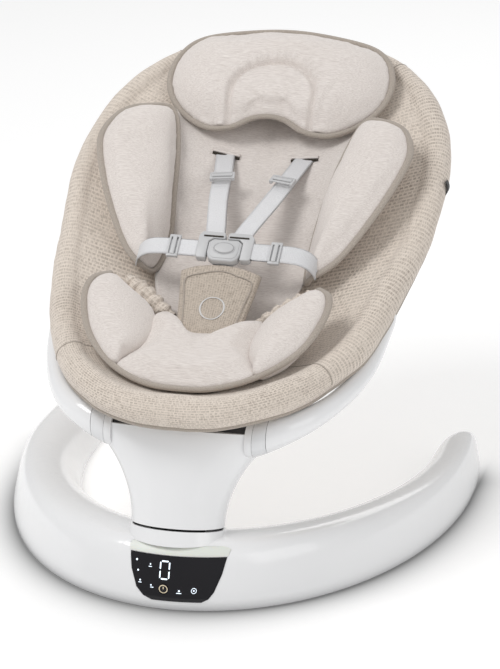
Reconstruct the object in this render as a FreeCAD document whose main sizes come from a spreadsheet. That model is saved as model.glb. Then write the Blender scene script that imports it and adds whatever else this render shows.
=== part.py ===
import FreeCAD, Part
import math
import os
import Sketcher
from FreeCAD import Vector, Placement, Rotation

# Baby swing: a horseshoe floor base, a swinging neck and a padded seat on an oval hoop.
# Row frame: X to the side, Y from the foot end to the head end, Z up, millimetres.
# The origin is on the floor under the middle of the whole object.

doc = FreeCAD.newDocument("BabySwing")
os.makedirs("parts", exist_ok=True)

# ---------------------------------------------------------------- driving sizes
SIZES = {
    "base_half_width": 300, "base_front": 355, "base_height": 79, "base_wall": 3,
    "base_inner_half_width": 228, "plate_thick": 2.5, "foot_radius": 9, "foot_height": 2,
    "collar_y": -282, "collar_z": 84, "swing_tilt": 13, "groove_half": 1.5,
    "collar_half_width": 59, "collar_half_depth": 46,
    "shaft_radius": 6, "bearing_outer": 14, "bearing_width": 8, "ball_radius": 2.3,
    "running_gap": 0.05, "housing_radius": 20,
    "coil_reach": 62, "coil_radius": 16, "magnet_radius": 7,
    "button_radius": 6, "inlet_bore": 2.75, "inlet_length": 9,
    "neck_wall": 3, "fork_face": 93, "band_width": 17, "hub_y": -265, "hub_z": 200,
    "pin_radius": 6, "recline_gap": 0.6,
    "seat_half_width": 229, "seat_length": 648, "seat_rise": 280, "seat_front_z": 238,
    "hoop_radius": 8, "hoop_wall": 1.5, "rim_radius": 17, "cover_thick": 4,
    "fit_gap": 0.4,
    "harness_y": -48, "harness_z": 356, "harness_tilt": 38,
    "webbing_width": 25, "webbing_thick": 1.6, "strap_end_x": 16.5,
    "slot_x": 53, "slot_y": 156, "slot_z": 434, "waist_reach": 104,
    "buckle_half_width": 21.8, "buckle_thick": 13, "adjuster_length": 9,
    "pad_tilt": 41.7, "pad_length": 80, "pad_thick": 8,
}
sheet = doc.addObject("Spreadsheet::Sheet", "Sizes")
for line, (word, number) in enumerate(SIZES.items(), 1):
    sheet.set(f"A{line}", word)
    sheet.set(f"B{line}", str(number))
    sheet.setAlias(f"B{line}", word)
doc.recompute()


def size(word):
    return float(sheet.get(word))


PARTS = []


def finish(part, label):
    part.Label = label
    PARTS.append(part)
    return part


def put(part, base, rotation):
    part.Placement = Placement(base, rotation)


def coded(label, shape):
    """A sub-part whose curved shape is built by code from the sheet's numbers."""
    part = doc.addObject("Part::Feature", label)
    part.Shape = shape
    return finish(part, label)


# The three tilted frames: the swing axis, the harness and the crotch pad.
SWING = Placement(Vector(0, size("collar_y"), size("collar_z")), Rotation(Vector(1, 0, 0), -size("swing_tilt")))
HARNESS = Placement(Vector(0, size("harness_y"), size("harness_z")), Rotation(Vector(1, 0, 0), size("harness_tilt")))
PAD = Placement(Vector(0, -128, 280), Rotation(Vector(1, 0, 0), size("pad_tilt")))


# ---------------------------------------------------------------- sketch helpers
def closed_sketch(body, label, plane, points):
    """A closed polygon on one of the body's planes; every corner is driven by two expressions."""
    sketch = body.newObject("Sketcher::SketchObject", label)
    origin = [item for item in body.Origin.OriginFeatures if item.Role == plane][0]
    sketch.AttachmentSupport = [(origin, "")]
    sketch.MapMode = "FlatFace"
    count = len(points)
    ring = [Vector(30 + 10 * math.cos(2 * math.pi * i / count), 30 + 10 * math.sin(2 * math.pi * i / count), 0)
            for i in range(count)]
    for i in range(count):
        sketch.addGeometry(Part.LineSegment(ring[i], ring[(i + 1) % count]), False)
    for i in range(count):
        sketch.addConstraint(Sketcher.Constraint("Coincident", i, 2, (i + 1) % count, 1))
    for i, corner in enumerate(points):
        for kind, text in zip(("DistanceX", "DistanceY"), corner):
            index = sketch.addConstraint(Sketcher.Constraint(kind, -1, 1, i, 1, 1.0))
            sketch.setExpression(f"Constraints[{index}]", text)
    doc.recompute()
    return sketch


def turned(label, points, place=None):
    """A turned piece: the profile (radius, height) goes once round the Z axis."""
    body = doc.addObject("PartDesign::Body", label)
    profile = closed_sketch(body, label + "_profile", "XZ_Plane", points)
    turn = body.newObject("PartDesign::Revolution", label + "_turn")
    turn.Profile = profile
    turn.ReferenceAxis = (profile, ["V_Axis"])
    turn.Angle = 360
    doc.recompute()
    if place is not None:
        body.Placement = place
    return finish(body, label)


def plate(label, points, start, thick, place=None):
    """A flat piece: the outline (x, y) is padded up from the height start."""
    body = doc.addObject("PartDesign::Body", label)
    outline = closed_sketch(body, label + "_outline", "XY_Plane", points)
    pad = body.newObject("PartDesign::Pad", label + "_pad")
    pad.Profile = outline
    pad.setExpression("Length", thick)
    outline.setExpression(".AttachmentOffset.Base.z", start)
    doc.recompute()
    if place is not None:
        body.Placement = place
    return finish(body, label)


def move_to(shape, place):
    moved = shape.copy()
    moved.Placement = place.multiply(moved.Placement)
    return moved


def rod(radius, low, high, x=0.0, y=0.0):
    return Part.makeCylinder(radius, high - low, Vector(x, y, low))


def cross_rod(radius, low, high, y, z):
    return Part.makeCylinder(radius, high - low, Vector(low, y, z), Vector(1, 0, 0))


def block(x, y, z):
    return Part.makeBox(x[1] - x[0], y[1] - y[0], z[1] - z[0], Vector(x[0], y[0], z[0]))


def spline(points, closed=False):
    curve = Part.BSplineCurve()
    curve.interpolate([Vector(*p) for p in points], PeriodicFlag=closed)
    return curve.toShape()


def ring_at(centre, along, radius):
    """A circle square to the direction, always starting at its highest point."""
    high = Vector(0, 0, 1) - along * along.z
    high.normalize()
    turn = Rotation(high, along.cross(high), along, "ZXY")
    circle = Part.Wire([Part.Circle(Vector(0, 0, 0), Vector(0, 0, 1), radius).toShape()])
    circle.Placement = Placement(Vector(*centre), turn)
    return circle


def between(x, table):
    """Straight-line reading of a table of (x, value) rows."""
    for (x0, v0), (x1, v1) in zip(table, table[1:]):
        if x <= x1:
            return v0 + (v1 - v0) * (x - x0) / (x1 - x0)
    return table[-1][1]


# ================================================================ the base
HALF = size("base_half_width")
FRONT = size("base_front")
INNER = size("base_inner_half_width")
HEIGHT = size("base_height")
WALL = size("base_wall")
RAY_Y = 100.0                        # the sections stand on rays from this point of the centre line
OUTER_Y = FRONT - 273.0              # centre of the outer half ellipse


def ellipse_hit(angle, half, y_mid, reach_front, reach_back):
    """Distance from the ray point to an ellipse, along a ray at this angle."""
    dx, dy = math.cos(angle), math.sin(angle)
    low, high = 0.0, 900.0
    for _ in range(60):
        r = (low + high) / 2
        x, y = r * dx, RAY_Y + r * dy - y_mid
        reach = reach_front if y < 0 else reach_back
        if (x / half) ** 2 + (y / reach) ** 2 < 1:
            low = r
        else:
            high = r
    return low


# Corner fractions of the cross-section: across from the outer edge, and up.
BASE_PROFILE = [(0.014, 0), (0, 0.13), (0.03, 0.36), (0.07, 0.6), (0.125, 0.84), (0.21, 0.965), (0.33, 1.0),
                (0.5, 0.965), (0.68, 0.84), (0.84, 0.6), (0.95, 0.3), (1.0, 0.09), (0.995, 0)]
# Ray angle in degrees from +X, height fraction and how full the section is.
BASE_STATIONS = [(-90, 1.0, 1), (-76, 1.0, 1), (-63, 0.985, 1), (-50, 0.955, 1), (-37, 0.915, 1), (-25, 0.87, 1),
                 (-13, 0.83, 1), (-2, 0.79, 1), (7, 0.765, 1), (13, 0.74, 0.97), (16.5, 0.69, 0.9), (18.6, 0.6, 0.75),
                 (19.6, 0.48, 0.5)]


def base_wire(angle, height, full, grow, foot):
    a = math.radians(angle)
    far = ellipse_hit(a, HALF, OUTER_Y, FRONT + OUTER_Y, 500.0)
    near = ellipse_hit(a, INNER, OUTER_Y + 43, 328.0, 900.0)
    middle = (far + near) / 2
    half = (far - near) / 2 * full + grow
    points = []
    for across, up in BASE_PROFILE:
        r = middle + half - 2 * half * across
        z = foot + (height * HEIGHT + grow - foot) * up
        points.append(Vector(r * math.cos(a), RAY_Y + r * math.sin(a), z))
    top = spline(points)
    bottom = Part.makeLine(points[-1], points[0])
    return Part.Wire([top, bottom])


def base_solid(grow, foot, shorten=0.0):
    stations = [row for row in BASE_STATIONS]
    right = [(a - shorten * max(0, (a + 90) / 110), h, f) for a, h, f in stations]
    left = [(-180 - a, h, f) for a, h, f in right[:0:-1]]
    wires = [base_wire(a, h, f, grow, foot) for a, h, f in left + right]
    return Part.makeLoft(wires, True, False)


def swing_loft(rows):
    """Loft of ellipses square to the swing axis; rows of (along, half width, half depth)."""
    wires = []
    for along, half_width, half_depth in rows:
        ring = Part.Ellipse(Vector(0, 0, along), max(half_width, half_depth), min(half_width, half_depth))
        wires.append(Part.Wire([ring.toShape()]))
    return move_to(Part.makeLoft(wires, True, False), SWING)


CW = size("collar_half_width")
CD = size("collar_half_depth")
GROOVE = size("groove_half")
collar = swing_loft([(-26, CW + 11, CD + 4), (-10, CW + 3, CD + 1.5), (-GROOVE, CW, CD)])
collar_hollow = swing_loft([(-30, CW + 9, CD + 1), (-10, CW, CD - 1.5), (1, CW - 3, CD - 3)])
base_outer = base_solid(0, 1.0).fuse(collar)
base_hollow = base_solid(-WALL, -2.0, 1.2).fuse(collar_hollow)
shelf = move_to(Part.makeCylinder(75, 4, Vector(0, 0, -12)).cut(rod(34, -13, -7)), SWING)
shell = base_outer.cut(base_hollow).fuse(shelf.common(base_outer))

# screw bosses for the bottom plate, and the screws' places
SCREWS = [(a, 0.5) for a in (-180 - 12, -180 + 28, -130, -50, -28, 12)]


def base_spot(angle, across):
    a = math.radians(angle)
    far = ellipse_hit(a, HALF, OUTER_Y, FRONT + OUTER_Y, 500.0)
    near = ellipse_hit(a, INNER, OUTER_Y + 43, 328.0, 900.0)
    r = far + (near - far) * across
    return r * math.cos(a), RAY_Y + r * math.sin(a)


PLATE_LOW = size("foot_height")
PLATE_TOP = PLATE_LOW + size("plate_thick")
spots = [base_spot(a, c) for a, c in SCREWS]
for x, y in spots:
    boss = rod(4.5, PLATE_TOP, 90, x, y).common(base_outer)
    shell = shell.fuse(boss)
for x, y in spots:
    shell = shell.cut(rod(1.6, 0, PLATE_TOP + 12, x, y))

# the control window, the light strip above it, the key and the inlet are let into the shell
WINDOW = [(-46, 65), (73, 65), (69, 46), (61, 25), (55, 17), (47, 13), (-14, 13), (-25, 17), (-35, 26), (-43, 46)]
STRIP = [(-47, 66), (74, 66), (76, 72), (70, 75), (-45, 75), (-49, 72)]


def window_prism(outline, grow):
    wire = Part.makePolygon([Vector(x, -FRONT - 20, z) for x, z in outline + outline[:1]])
    face = Part.Face(wire.makeOffset2D(grow) if grow else wire)
    return face.extrude(Vector(0, 60, 0))


skin_out = base_solid(0.5, 1.0)
skin_in = base_solid(-1.6, 1.0)
window = window_prism(WINDOW, 0).common(skin_out).cut(skin_in)
strip = window_prism(STRIP, 0).common(skin_out).cut(skin_in)
cut_in = base_solid(-1.7, 1.0)
shell = shell.cut(window_prism(WINDOW, 0.15).cut(cut_in))
shell = shell.cut(window_prism(STRIP, 0.15).cut(cut_in))
KEY_R = size("button_radius")
key_hole = Part.makeCylinder(KEY_R + 0.15, 30, Vector(0, -FRONT - 10, 27), Vector(0, 1, 0))
window = window.cut(key_hole)
shell = shell.cut(key_hole)
inlet_x = 40.0
inlet_hole = Part.makeCylinder(6.1, 40, Vector(inlet_x, -225, 22), Vector(0, 1, 0))
inlet_boss = Part.makeCylinder(9, 40, Vector(inlet_x, -220, 22), Vector(0, 1, 0)).common(base_outer)
shell = shell.fuse(inlet_boss).cut(inlet_hole)
# sound slots for the speaker, low on the inside of the right arm
for k in range(5):
    shell = shell.cut(block((-54 + 6 * k - 1.2, -54 + 6 * k + 1.2), (-225, -190), (16, 34)))
# the largest faces come first, which keeps inside and outside plain for whoever reads the file
shell = Part.Solid(Part.Shell(sorted(shell.Faces, key=lambda face: -face.Area)))
coded("base_shell", shell)
coded("control_window", window)
coded("light_strip", strip)

# bottom plate: flat, between two curves inside the shell's walls
steps = [a for a, h, f in BASE_STATIONS]
angles = [-180 - a for a in steps[:0:-1]] + steps
angles = [a for a in angles if -194 < a < 14]


def edge_point(angle, margin, side):
    a = math.radians(angle)
    far = ellipse_hit(a, HALF, OUTER_Y, FRONT + OUTER_Y, 500.0) - margin
    near = ellipse_hit(a, INNER, OUTER_Y + 43, 328.0, 900.0) + margin
    r = far if side else near
    return (r * math.cos(a), RAY_Y + r * math.sin(a), PLATE_LOW)


outer_curve = spline([edge_point(a, 7, True) for a in angles])
inner_curve = spline([edge_point(a, 7, False) for a in angles])
ends = [Part.makeLine(outer_curve.Vertexes[i].Point, inner_curve.Vertexes[i].Point) for i in (0, 1)]
bottom_face = Part.Face(Part.Wire(Part.__sortEdges__([outer_curve, ends[1], inner_curve, ends[0]])))
bottom = bottom_face.extrude(Vector(0, 0, size("plate_thick")))
for x, y in spots:
    bottom = bottom.cut(rod(1.8, 0, 10, x, y))
coded("base_bottom_plate", bottom)

screws = []
for x, y in spots:
    screws.append(rod(1.5, PLATE_LOW, PLATE_TOP + 9, x, y).fuse(rod(3.4, PLATE_LOW - 1.2, PLATE_LOW, x, y)))
coded("base_screws", Part.makeCompound(screws))
feet = []
for a, c in ((-90, 0.3), (-150, 0.3), (-30, 0.3), (-182, 0.45), (2, 0.45), (-115, 0.75), (-65, 0.75)):
    x, y = base_spot(a, c)
    feet.append(rod(size("foot_radius"), 0, PLATE_LOW, x, y))
coded("rubber_feet", Part.makeCompound(feet))

# power key behind the window, with its board and the speaker
key = doc.addObject("Part::Cylinder", "power_key")
key.setExpression("Radius", "Sizes.button_radius")
key.Height = 19.8
put(key, Vector(0, -FRONT + 3.0, 27), Rotation(Vector(1, 0, 0), -90))
finish(key, "power_key")
board = doc.addObject("Part::Box", "control_board")
board.Length = 80
board.Width = 1.6
board.Height = 28
put(board, Vector(-36, -FRONT + 24, 16), Rotation())
finish(board, "control_board")
speaker = turned("speaker", [("0", "0"), ("9", "0"), ("9", "6"), ("18", "11"), ("18", "14"), ("0", "14")],
                 Placement(Vector(-42, -232, 26), Rotation(Vector(1, 0, 0), -90)))
speaker.Placement = Placement(Vector(-42, -238, 26), Rotation(Vector(1, 0, 0), -90))
inlet = turned("dc_inlet", [("Sizes.inlet_bore", "0"), ("6", "0"), ("6", "14"), ("0", "14"), ("0", "Sizes.inlet_length + 1"),
                            ("Sizes.inlet_bore", "Sizes.inlet_length + 1")])
put(inlet, Vector(inlet_x, -203.5, 22), Rotation(Vector(1, 0, 0), 90))

# swing bearing: two ball bearings in a flanged housing under the collar
GAP = size("running_gap")
R_SHAFT = size("shaft_radius")
R_OUT = size("bearing_outer")
housing = rod(size("housing_radius"), -57, -12).fuse(rod(42, -16, -12))
housing = housing.cut(rod(R_OUT, -60, -48)).cut(rod(R_OUT - 2.5, -60, 0)).cut(rod(R_OUT, -20, 0))
for k in range(4):
    a = math.radians(45 + 90 * k)
    housing = housing.cut(rod(2.2, -20, 0, 38 * math.cos(a), 38 * math.sin(a)))
coded("bearing_housing", move_to(housing, SWING))
fixings = [rod(2.0, -20, -12.0, 38 * math.cos(math.radians(45 + 90 * k)), 38 * math.sin(math.radians(45 + 90 * k)))
           for k in range(4)]
heads = [rod(3.6, -19, -16, 38 * math.cos(math.radians(45 + 90 * k)), 38 * math.sin(math.radians(45 + 90 * k)))
         for k in range(4)]
coded("housing_screws", Part.makeCompound([move_to(f.fuse(h), SWING) for f, h in zip(fixings, heads)]))
outer_rings, inner_rings, balls = [], [], []
PITCH = (R_SHAFT + R_OUT) / 2
BALL = size("ball_radius")
for low in (-56, -20):
    high = low + size("bearing_width")
    middle = (low + high) / 2
    race = Part.makeTorus(PITCH, BALL + 0.04, Vector(0, 0, middle))
    outer_rings.append(move_to(rod(R_OUT - 0.02, low, high).cut(rod(PITCH + 1.4, low, high)).cut(race), SWING))
    inner_rings.append(move_to(rod(PITCH - 1.4, low, high).cut(rod(R_SHAFT + 0.02, low, high)).cut(race), SWING))
    for k in range(8):
        a = math.radians(45 * k)
        balls.append(move_to(Part.makeSphere(BALL, Vector(PITCH * math.cos(a), PITCH * math.sin(a), middle)), SWING))
coded("bearing_outer_rings", Part.makeCompound(outer_rings))
coded("bearing_balls", Part.makeCompound(balls))
turned("seal_ring", [("30", "-12"), ("33.6", "-12"), ("33.6", "0.6"), ("30", "0.6")], SWING)

# electromagnetic drive: a coil on a bracket, two rubber stops on the plate
REACH = size("coil_reach")
bobbin = rod(size("coil_radius"), -77, -75).fuse(rod(6, -75, -69)).fuse(rod(size("coil_radius"), -69, -67.5))
bobbin = bobbin.cut(rod(3, -80, -60))
bobbin.translate(Vector(REACH, 0, 0))
coded("coil_bobbin", move_to(bobbin, SWING))
winding = rod(size("coil_radius") - 2, -74.9, -69.1).cut(rod(6.1, -75, -69))
winding.translate(Vector(REACH, 0, 0))
coded("coil_winding", move_to(winding, SWING))
wedge = block((REACH - 14, REACH + 14), (-318, -285), (PLATE_TOP, 40))
above = move_to(block((-300, 300), (-300, 300), (-77.05, 200)), SWING)
coded("coil_bracket", wedge.cut(above))
stops = []
for side in (-1, 1):
    post = move_to(rod(4, -110, -57, 29.0, 19.8 * side), SWING)
    stops.append(post.cut(block((-400, 400), (-400, 400), (-200, PLATE_TOP))))
coded("stop_bumpers", Part.makeCompound(stops))

# ================================================================ the neck
FACE = size("fork_face")
BAND = size("band_width")
HUB_Y = size("hub_y")
HUB_Z = size("hub_z")
TRUMPET = [(GROOVE, 0.99, 0.985), (22, 1.02, 0.98), (45, 1.125, 0.97), (68, 1.305, 0.96), (90, 1.56, 0.93),
           (108, 1.83, 0.89), (122, 2.0, 0.83)]
trumpet = swing_loft([(w, CW * a, CD * b) for w, a, b in TRUMPET])
wall = size("neck_wall")
trumpet_in = swing_loft([(w if w > 2 else 0, CW * a - wall, CD * b - wall) for w, a, b in TRUMPET[:-1]]
                        + [(119, CW * 1.96 - wall, CD * 0.84 - wall)])

# Seat arms: stations of (x, y, z, half width, half height), square to the path.
ARM = [(84, -264, 196, 22, 22), (110, -262, 203, 21, 21.5), (138, -250, 214, 16, 18), (164, -222, 223, 13, 15),
       (186, -175, 234, 12, 13), (202, -120, 252, 11, 12), (209, -75, 277, 10.5, 11), (211, -48, 305, 10, 10)]


def arm_solid(grow):
    wires = []
    for i, (x, y, z, half_width, half_height) in enumerate(ARM):
        a, b = ARM[max(i - 1, 0)], ARM[min(i + 1, len(ARM) - 1)]
        along = Vector(b[0] - a[0], b[1] - a[1], b[2] - a[2]).normalize()
        if i < 2:
            along = Vector(1, 0, 0)
        wires.append(ring_at((x, y, z), along, (half_width + half_height) / 2 + grow))
    return Part.makeLoft(wires, True, False)


right_limb = arm_solid(0)
envelope = trumpet.fuse(right_limb).fuse(right_limb.mirror(Vector(0, 0, 0), Vector(1, 0, 0)))
cross_hole = cross_rod(13.3, -FACE - 1, FACE + 1, HUB_Y, HUB_Z)
neck = envelope.common(block((-FACE, FACE), (-420, 0), (60, 400)))
hollow = trumpet_in.common(block((-FACE + 3, FACE - 3), (-420, 0), (60, 400)))
neck = neck.cut(hollow).cut(cross_hole)
coded("neck_shell", neck)
bands = []
for side in (-1, 1):
    x = sorted((side * (FACE + 0.4), side * (FACE + BAND)))
    ring = envelope.common(block(x, (-420, 0), (60, 400)))
    bands.append(ring.cut(cross_hole.copy()).cut(cross_rod(13.3, -150, 150, HUB_Y, HUB_Z)))
coded("hub_bands", Part.makeCompound(bands))

floor_plate = swing_loft([(GROOVE + 0.3, CW * 0.99 - wall - 0.4, CD * 0.985 - wall - 0.4),
                          (GROOVE + 4.3, CW * 0.99 - wall - 0.4, CD * 0.985 - wall - 0.4)])
floor_plate = floor_plate.cut(move_to(rod(R_SHAFT + 0.02, -10, 30), SWING))
coded("neck_floor_plate", floor_plate)
core = move_to(rod(18, GROOVE + 4.4, 118), SWING)
core = core.cut(move_to(rod(12, GROOVE + 4, 95), SWING))
tube = cross_rod(13, -FACE + 0.5, FACE - 0.5, HUB_Y, HUB_Z)
core = core.common(trumpet_in).fuse(tube).cut(cross_rod(size("pin_radius") + 0.02, -100, 100, HUB_Y, HUB_Z))
coded("neck_core", core)
shaft = turned("swing_shaft", [("0", "-71"), ("Sizes.shaft_radius", "-71"), ("Sizes.shaft_radius", "Sizes.groove_half + 4.4"),
                               ("11.5", "Sizes.groove_half + 4.4"), ("11.5", "Sizes.groove_half + 10"),
                               ("0", "Sizes.groove_half + 10")], SWING)
coded("bearing_inner_rings", Part.makeCompound(inner_rings))
nut = Part.makeLoft([Part.Wire(Part.makePolygon([Vector(10 * math.cos(math.radians(60 * k)), 10 * math.sin(math.radians(60 * k)), w)
                                                for k in range(7)])) for w in (-70.5, -66.6)], True, True)
coded("shaft_nut", move_to(nut.cut(rod(R_SHAFT + 0.02, -80, -50)), SWING))
arm_blade = rod(12, -66, -57.5).fuse(block((0, REACH - 8), (-7, 7), (-66, -62))).fuse(
    block((REACH - 14, REACH + 10), (-20, 20), (-66, -60)))
arm_blade = arm_blade.cut(rod(R_SHAFT + 0.02, -80, -50))
MR = size("magnet_radius")
for side in (-1, 1):
    arm_blade = arm_blade.cut(rod(MR + 0.05, -66.1, -62, REACH, 10 * side))
coded("magnet_arm", move_to(arm_blade, SWING))
coded("drive_magnets", Part.makeCompound([move_to(rod(MR, -66, -62.05, REACH, 10 * side), SWING) for side in (-1, 1)]))
tails = []
for k in range(4):
    a = math.radians(45 + 90 * k)
    tails.append(move_to(rod(2.0, GROOVE + 4.35, GROOVE + 7.4, 30 * math.cos(a), 30 * math.sin(a)), SWING))
coded("neck_screws", Part.makeCompound(tails))
pins = [cross_rod(size("pin_radius"), *sorted((side * 70, side * (FACE + BAND + 12))), HUB_Y, HUB_Z) for side in (-1, 1)]
coded("recline_pins", Part.makeCompound(pins))

# ================================================================ the seat frame
SW = size("seat_half_width")
SL = size("seat_length")
SR = size("seat_rise")
SZ = size("seat_front_z")
# The rim's centre line on the right: fractions of the half width, the length and the rise.
RIM = [(0, 0, 0), (0.27, 0.011, 0.011), (0.515, 0.074, 0.036), (0.7, 0.17, 0.068), (0.83, 0.285, 0.139),
       (0.917, 0.401, 0.264), (0.969, 0.532, 0.4), (1.0, 0.648, 0.575), (0.961, 0.764, 0.714),
       (0.821, 0.873, 0.857), (0.624, 0.946, 0.943), (0.349, 0.991, 0.986), (0, 1.0, 1.0)]
rim_right = [(SW * x, -310 + SL * y, SZ + SR * z) for x, y, z in RIM]
rim_points = rim_right + [(-x, y, z) for x, y, z in rim_right[-2:0:-1]]
rim_edge = spline(rim_points, True)
RIM_X = [(y, x) for x, y, z in rim_right]
RIM_Z = [(y, z) for x, y, z in rim_right]


RIM_MID = (rim_edge.FirstParameter + rim_edge.LastParameter) / 2
RIM_STEPS = 20


def rim_half(radius):
    """A round bar along the right half of the rim, from the foot end to the head end."""
    rings = []
    for k in range(RIM_STEPS + 1):
        at = rim_edge.FirstParameter + (RIM_MID - rim_edge.FirstParameter) * k / RIM_STEPS
        along = Vector(1, 0, 0) if k in (0, RIM_STEPS) else rim_edge.tangentAt(at)
        if k == RIM_STEPS:
            along = Vector(-1, 0, 0)
        rings.append(ring_at(rim_edge.valueAt(at), along, radius))
    return Part.makeLoft(rings, True, False)


def mirrored(shape):
    return shape.mirror(Vector(0, 0, 0), Vector(1, 0, 0))


def joined(half):
    """The half and its mirror image as one solid."""
    whole = half.fuse(mirrored(half))
    return whole if len(whole.Solids) == 1 else Part.makeCompound([half, mirrored(half)])


R_HOOP = size("hoop_radius")
R_RIM = size("rim_radius")
FIT = size("fit_gap")
coded("seat_hoop", joined(rim_half(R_HOOP).cut(rim_half(R_HOOP - size("hoop_wall")))))
hoop_fat = rim_half(R_HOOP + 0.05)
rim_fat = rim_half(R_RIM + FIT)
rim_fat_left = mirrored(rim_fat)
limb = arm_solid(0).fuse(trumpet.common(block((FACE + BAND + size("recline_gap"), 400), (-420, 0), (60, 400))))
limb = limb.common(block((FACE + BAND + size("recline_gap"), 400), (-420, 100), (60, 400)))
limb = limb.cut(cross_rod(size("pin_radius") + GAP, 0, FACE + BAND + 12.5, HUB_Y, HUB_Z)).cut(hoop_fat)
coded("right_arm", limb)
coded("left_arm", limb.mirror(Vector(0, 0, 0), Vector(1, 0, 0)))
coded("padded_rim", joined(rim_half(R_RIM).cut(rim_half(R_HOOP + 0.3)).cut(arm_solid(FIT))))

# the seat well: crescent sections along the seat, hung inside the rim
WELL = [(-286, 234), (-255, 230), (-205, 231), (-128, 240), (-75, 258), (-25, 288), (45, 325), (105, 365),
        (168, 403), (216, 433), (265, 461), (300, 484), (322, 500)]
ACROSS = [(1.0, 1.0), (0.86, 0.5), (0.62, 0.13), (0.3, 0.02), (0, 0)]


def crescent(y, low, up, down):
    half = between(y, RIM_X) - 8
    top = between(y, RIM_Z)
    right = [(half * u, low + (top - low) * f) for u, f in ACROSS]
    line = right + [(-x, z) for x, z in right[-2::-1]]
    upper = [Vector(x, y, z + up) for x, z in line]
    lower = [Vector(x, y, z - down) for x, z in line]
    edges = [spline(upper), Part.makeLine(upper[-1], lower[-1]), spline(lower[::-1]), Part.makeLine(lower[0], upper[0])]
    return Part.Wire(edges)


THICK = size("cover_thick")
cover = Part.makeLoft([crescent(y, z, 0, THICK) for y, z in WELL], True, False).cut(rim_fat).cut(rim_fat_left)
coded("seat_cover", cover)
cover_fat = Part.makeLoft([crescent(y, z, FIT, THICK + FIT) for y, z in WELL], True, False)
above_well = Part.makeLoft([crescent(y, z, 260, -FIT) for y, z in WELL], True, False)
stiffener = Part.makeLoft([crescent(y, z, -THICK - FIT, THICK + FIT + 3) for y, z in WELL], True, False)
stiffener = stiffener.common(block((-90, 90), (-125, 230), (150, 600)))
coded("seat_board", stiffener)

# ================================================================ the cushions
WELL_Z = [(y, z) for y, z in WELL]


def slab(half, low_y, high_y, lift, thick, count=9):
    """A cushion that follows the seat well's centre line."""
    ys = [low_y + (high_y - low_y) * i / (count - 1) for i in range(count)]
    under = [(-half, y, between(y, WELL_Z) + lift) for y in ys]
    over = [(-half, y, between(y, WELL_Z) + lift + thick) for y in ys[::-1]]
    edges = [spline(under), Part.makeLine(Vector(*under[-1]), Vector(*over[0])), spline(over),
             Part.makeLine(Vector(*over[-1]), Vector(*under[0]))]
    return Part.Face(Part.Wire(edges)).extrude(Vector(2 * half, 0, 0))


back_pad = slab(78, -62, 236, 3, 20).common(above_well)
coded("back_insert", back_pad)


def cushion(centre, halves, turns):
    """An egg-shaped cushion, lofted along its own Y axis, then turned and placed."""
    wires = []
    for t in (-0.985, -0.9, -0.7, -0.4, 0.0, 0.4, 0.7, 0.9, 0.985):
        reach = math.sqrt(1 - t * t)
        line = []
        for k in range(12):
            a = 2 * math.pi * k / 12
            line.append((halves[0] * reach * math.cos(a), halves[1] * t, halves[2] * reach * math.sin(a)))
        wires.append(Part.Wire([spline(line, True)]))
    return move_to(Part.makeLoft(wires, True, False), Placement(Vector(*centre), Rotation(*turns)))


back_fat = slab(78 + FIT, -62 - FIT, 236 + FIT, 0, 20 + 3 + FIT)
wing = cushion((140, 75, 409), (62, 135, 24), (-14, -33, 30))
wing = wing.cut(back_fat).cut(rim_fat).common(above_well)
wing = max(wing.Solids, key=lambda solid: solid.Volume)
coded("right_back_wing", wing)
coded("left_back_wing", wing.mirror(Vector(0, 0, 0), Vector(1, 0, 0)))

thigh = slab(88, -278, -70, 4, 34).cut(block((-26, 26), (-120, 0), (100, 500)))
thigh = thigh.common(above_well).cut(rim_fat).cut(rim_fat_left)
coded("thigh_pad", thigh)
thigh_fat = slab(88 + FIT, -280, -69, 0, 60)
bolster = cushion((128, -150, 284), (40, 88, 40), (-14, -20, 14))
bolster = bolster.cut(thigh_fat).cut(rim_fat).common(above_well).cut(wing)
bolster = max(bolster.Solids, key=lambda solid: solid.Volume)
coded("right_thigh_bolster", bolster)
coded("left_thigh_bolster", bolster.mirror(Vector(0, 0, 0), Vector(1, 0, 0)))

pillow = cushion((0, 249, 508), (146, 66, 26), (0, 0, 40))
pillow = pillow.cut(back_fat).cut(rim_fat).cut(rim_fat_left).common(above_well).cut(wing).cut(wing.mirror(Vector(0, 0, 0), Vector(1, 0, 0)))
pillow = pillow.cut(block((-90, 90), (100, 180), (400, 600)))
pillow = max(pillow.Solids, key=lambda solid: solid.Volume)
coded("head_pillow", pillow)

# ================================================================ the harness
W2 = size("webbing_width") / 2
T = size("webbing_thick")
plate("buckle_body", [("-Sizes.buckle_half_width", "-6"), ("-17", "-18"), ("17", "-18"), ("Sizes.buckle_half_width", "-6"),
                      ("Sizes.buckle_half_width", "10"), ("16", "14.5"), ("-16", "14.5"), ("-Sizes.buckle_half_width", "10")],
      "0", "Sizes.buckle_thick", HARNESS)
buckle = PARTS[-1]


def pocket(body, label, plane, points, depth, offset="0", reverse=False, both=False):
    outline = closed_sketch(body, label + "_outline", plane, points)
    outline.setExpression(".AttachmentOffset.Base.z", offset)
    hole = body.newObject("PartDesign::Pocket", label)
    hole.Profile = outline
    hole.setExpression("Length", depth)
    hole.Midplane = both
    hole.Reversed = reverse
    before = body.Shape.Volume
    doc.recompute()
    return hole


pocket(buckle, "tongue_cavity", "XZ_Plane", [("-40", "4"), ("40", "4"), ("40", "9.8"), ("-40", "9.8")], "16", both=True)
round_button = [(f"{13.5 * math.cos(math.pi * k / 8):.3f}", f"{8.3 * math.sin(math.pi * k / 8):.3f}") for k in range(16)]
pocket(buckle, "button_hole", "XY_Plane", round_button, "20", "20")
small_button = [(f"{13.2 * math.cos(math.pi * k / 8):.3f}", f"{8.0 * math.sin(math.pi * k / 8):.3f}") for k in range(16)]
plate("buckle_button", small_button, "9.9", "4.6", HARNESS)

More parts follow.
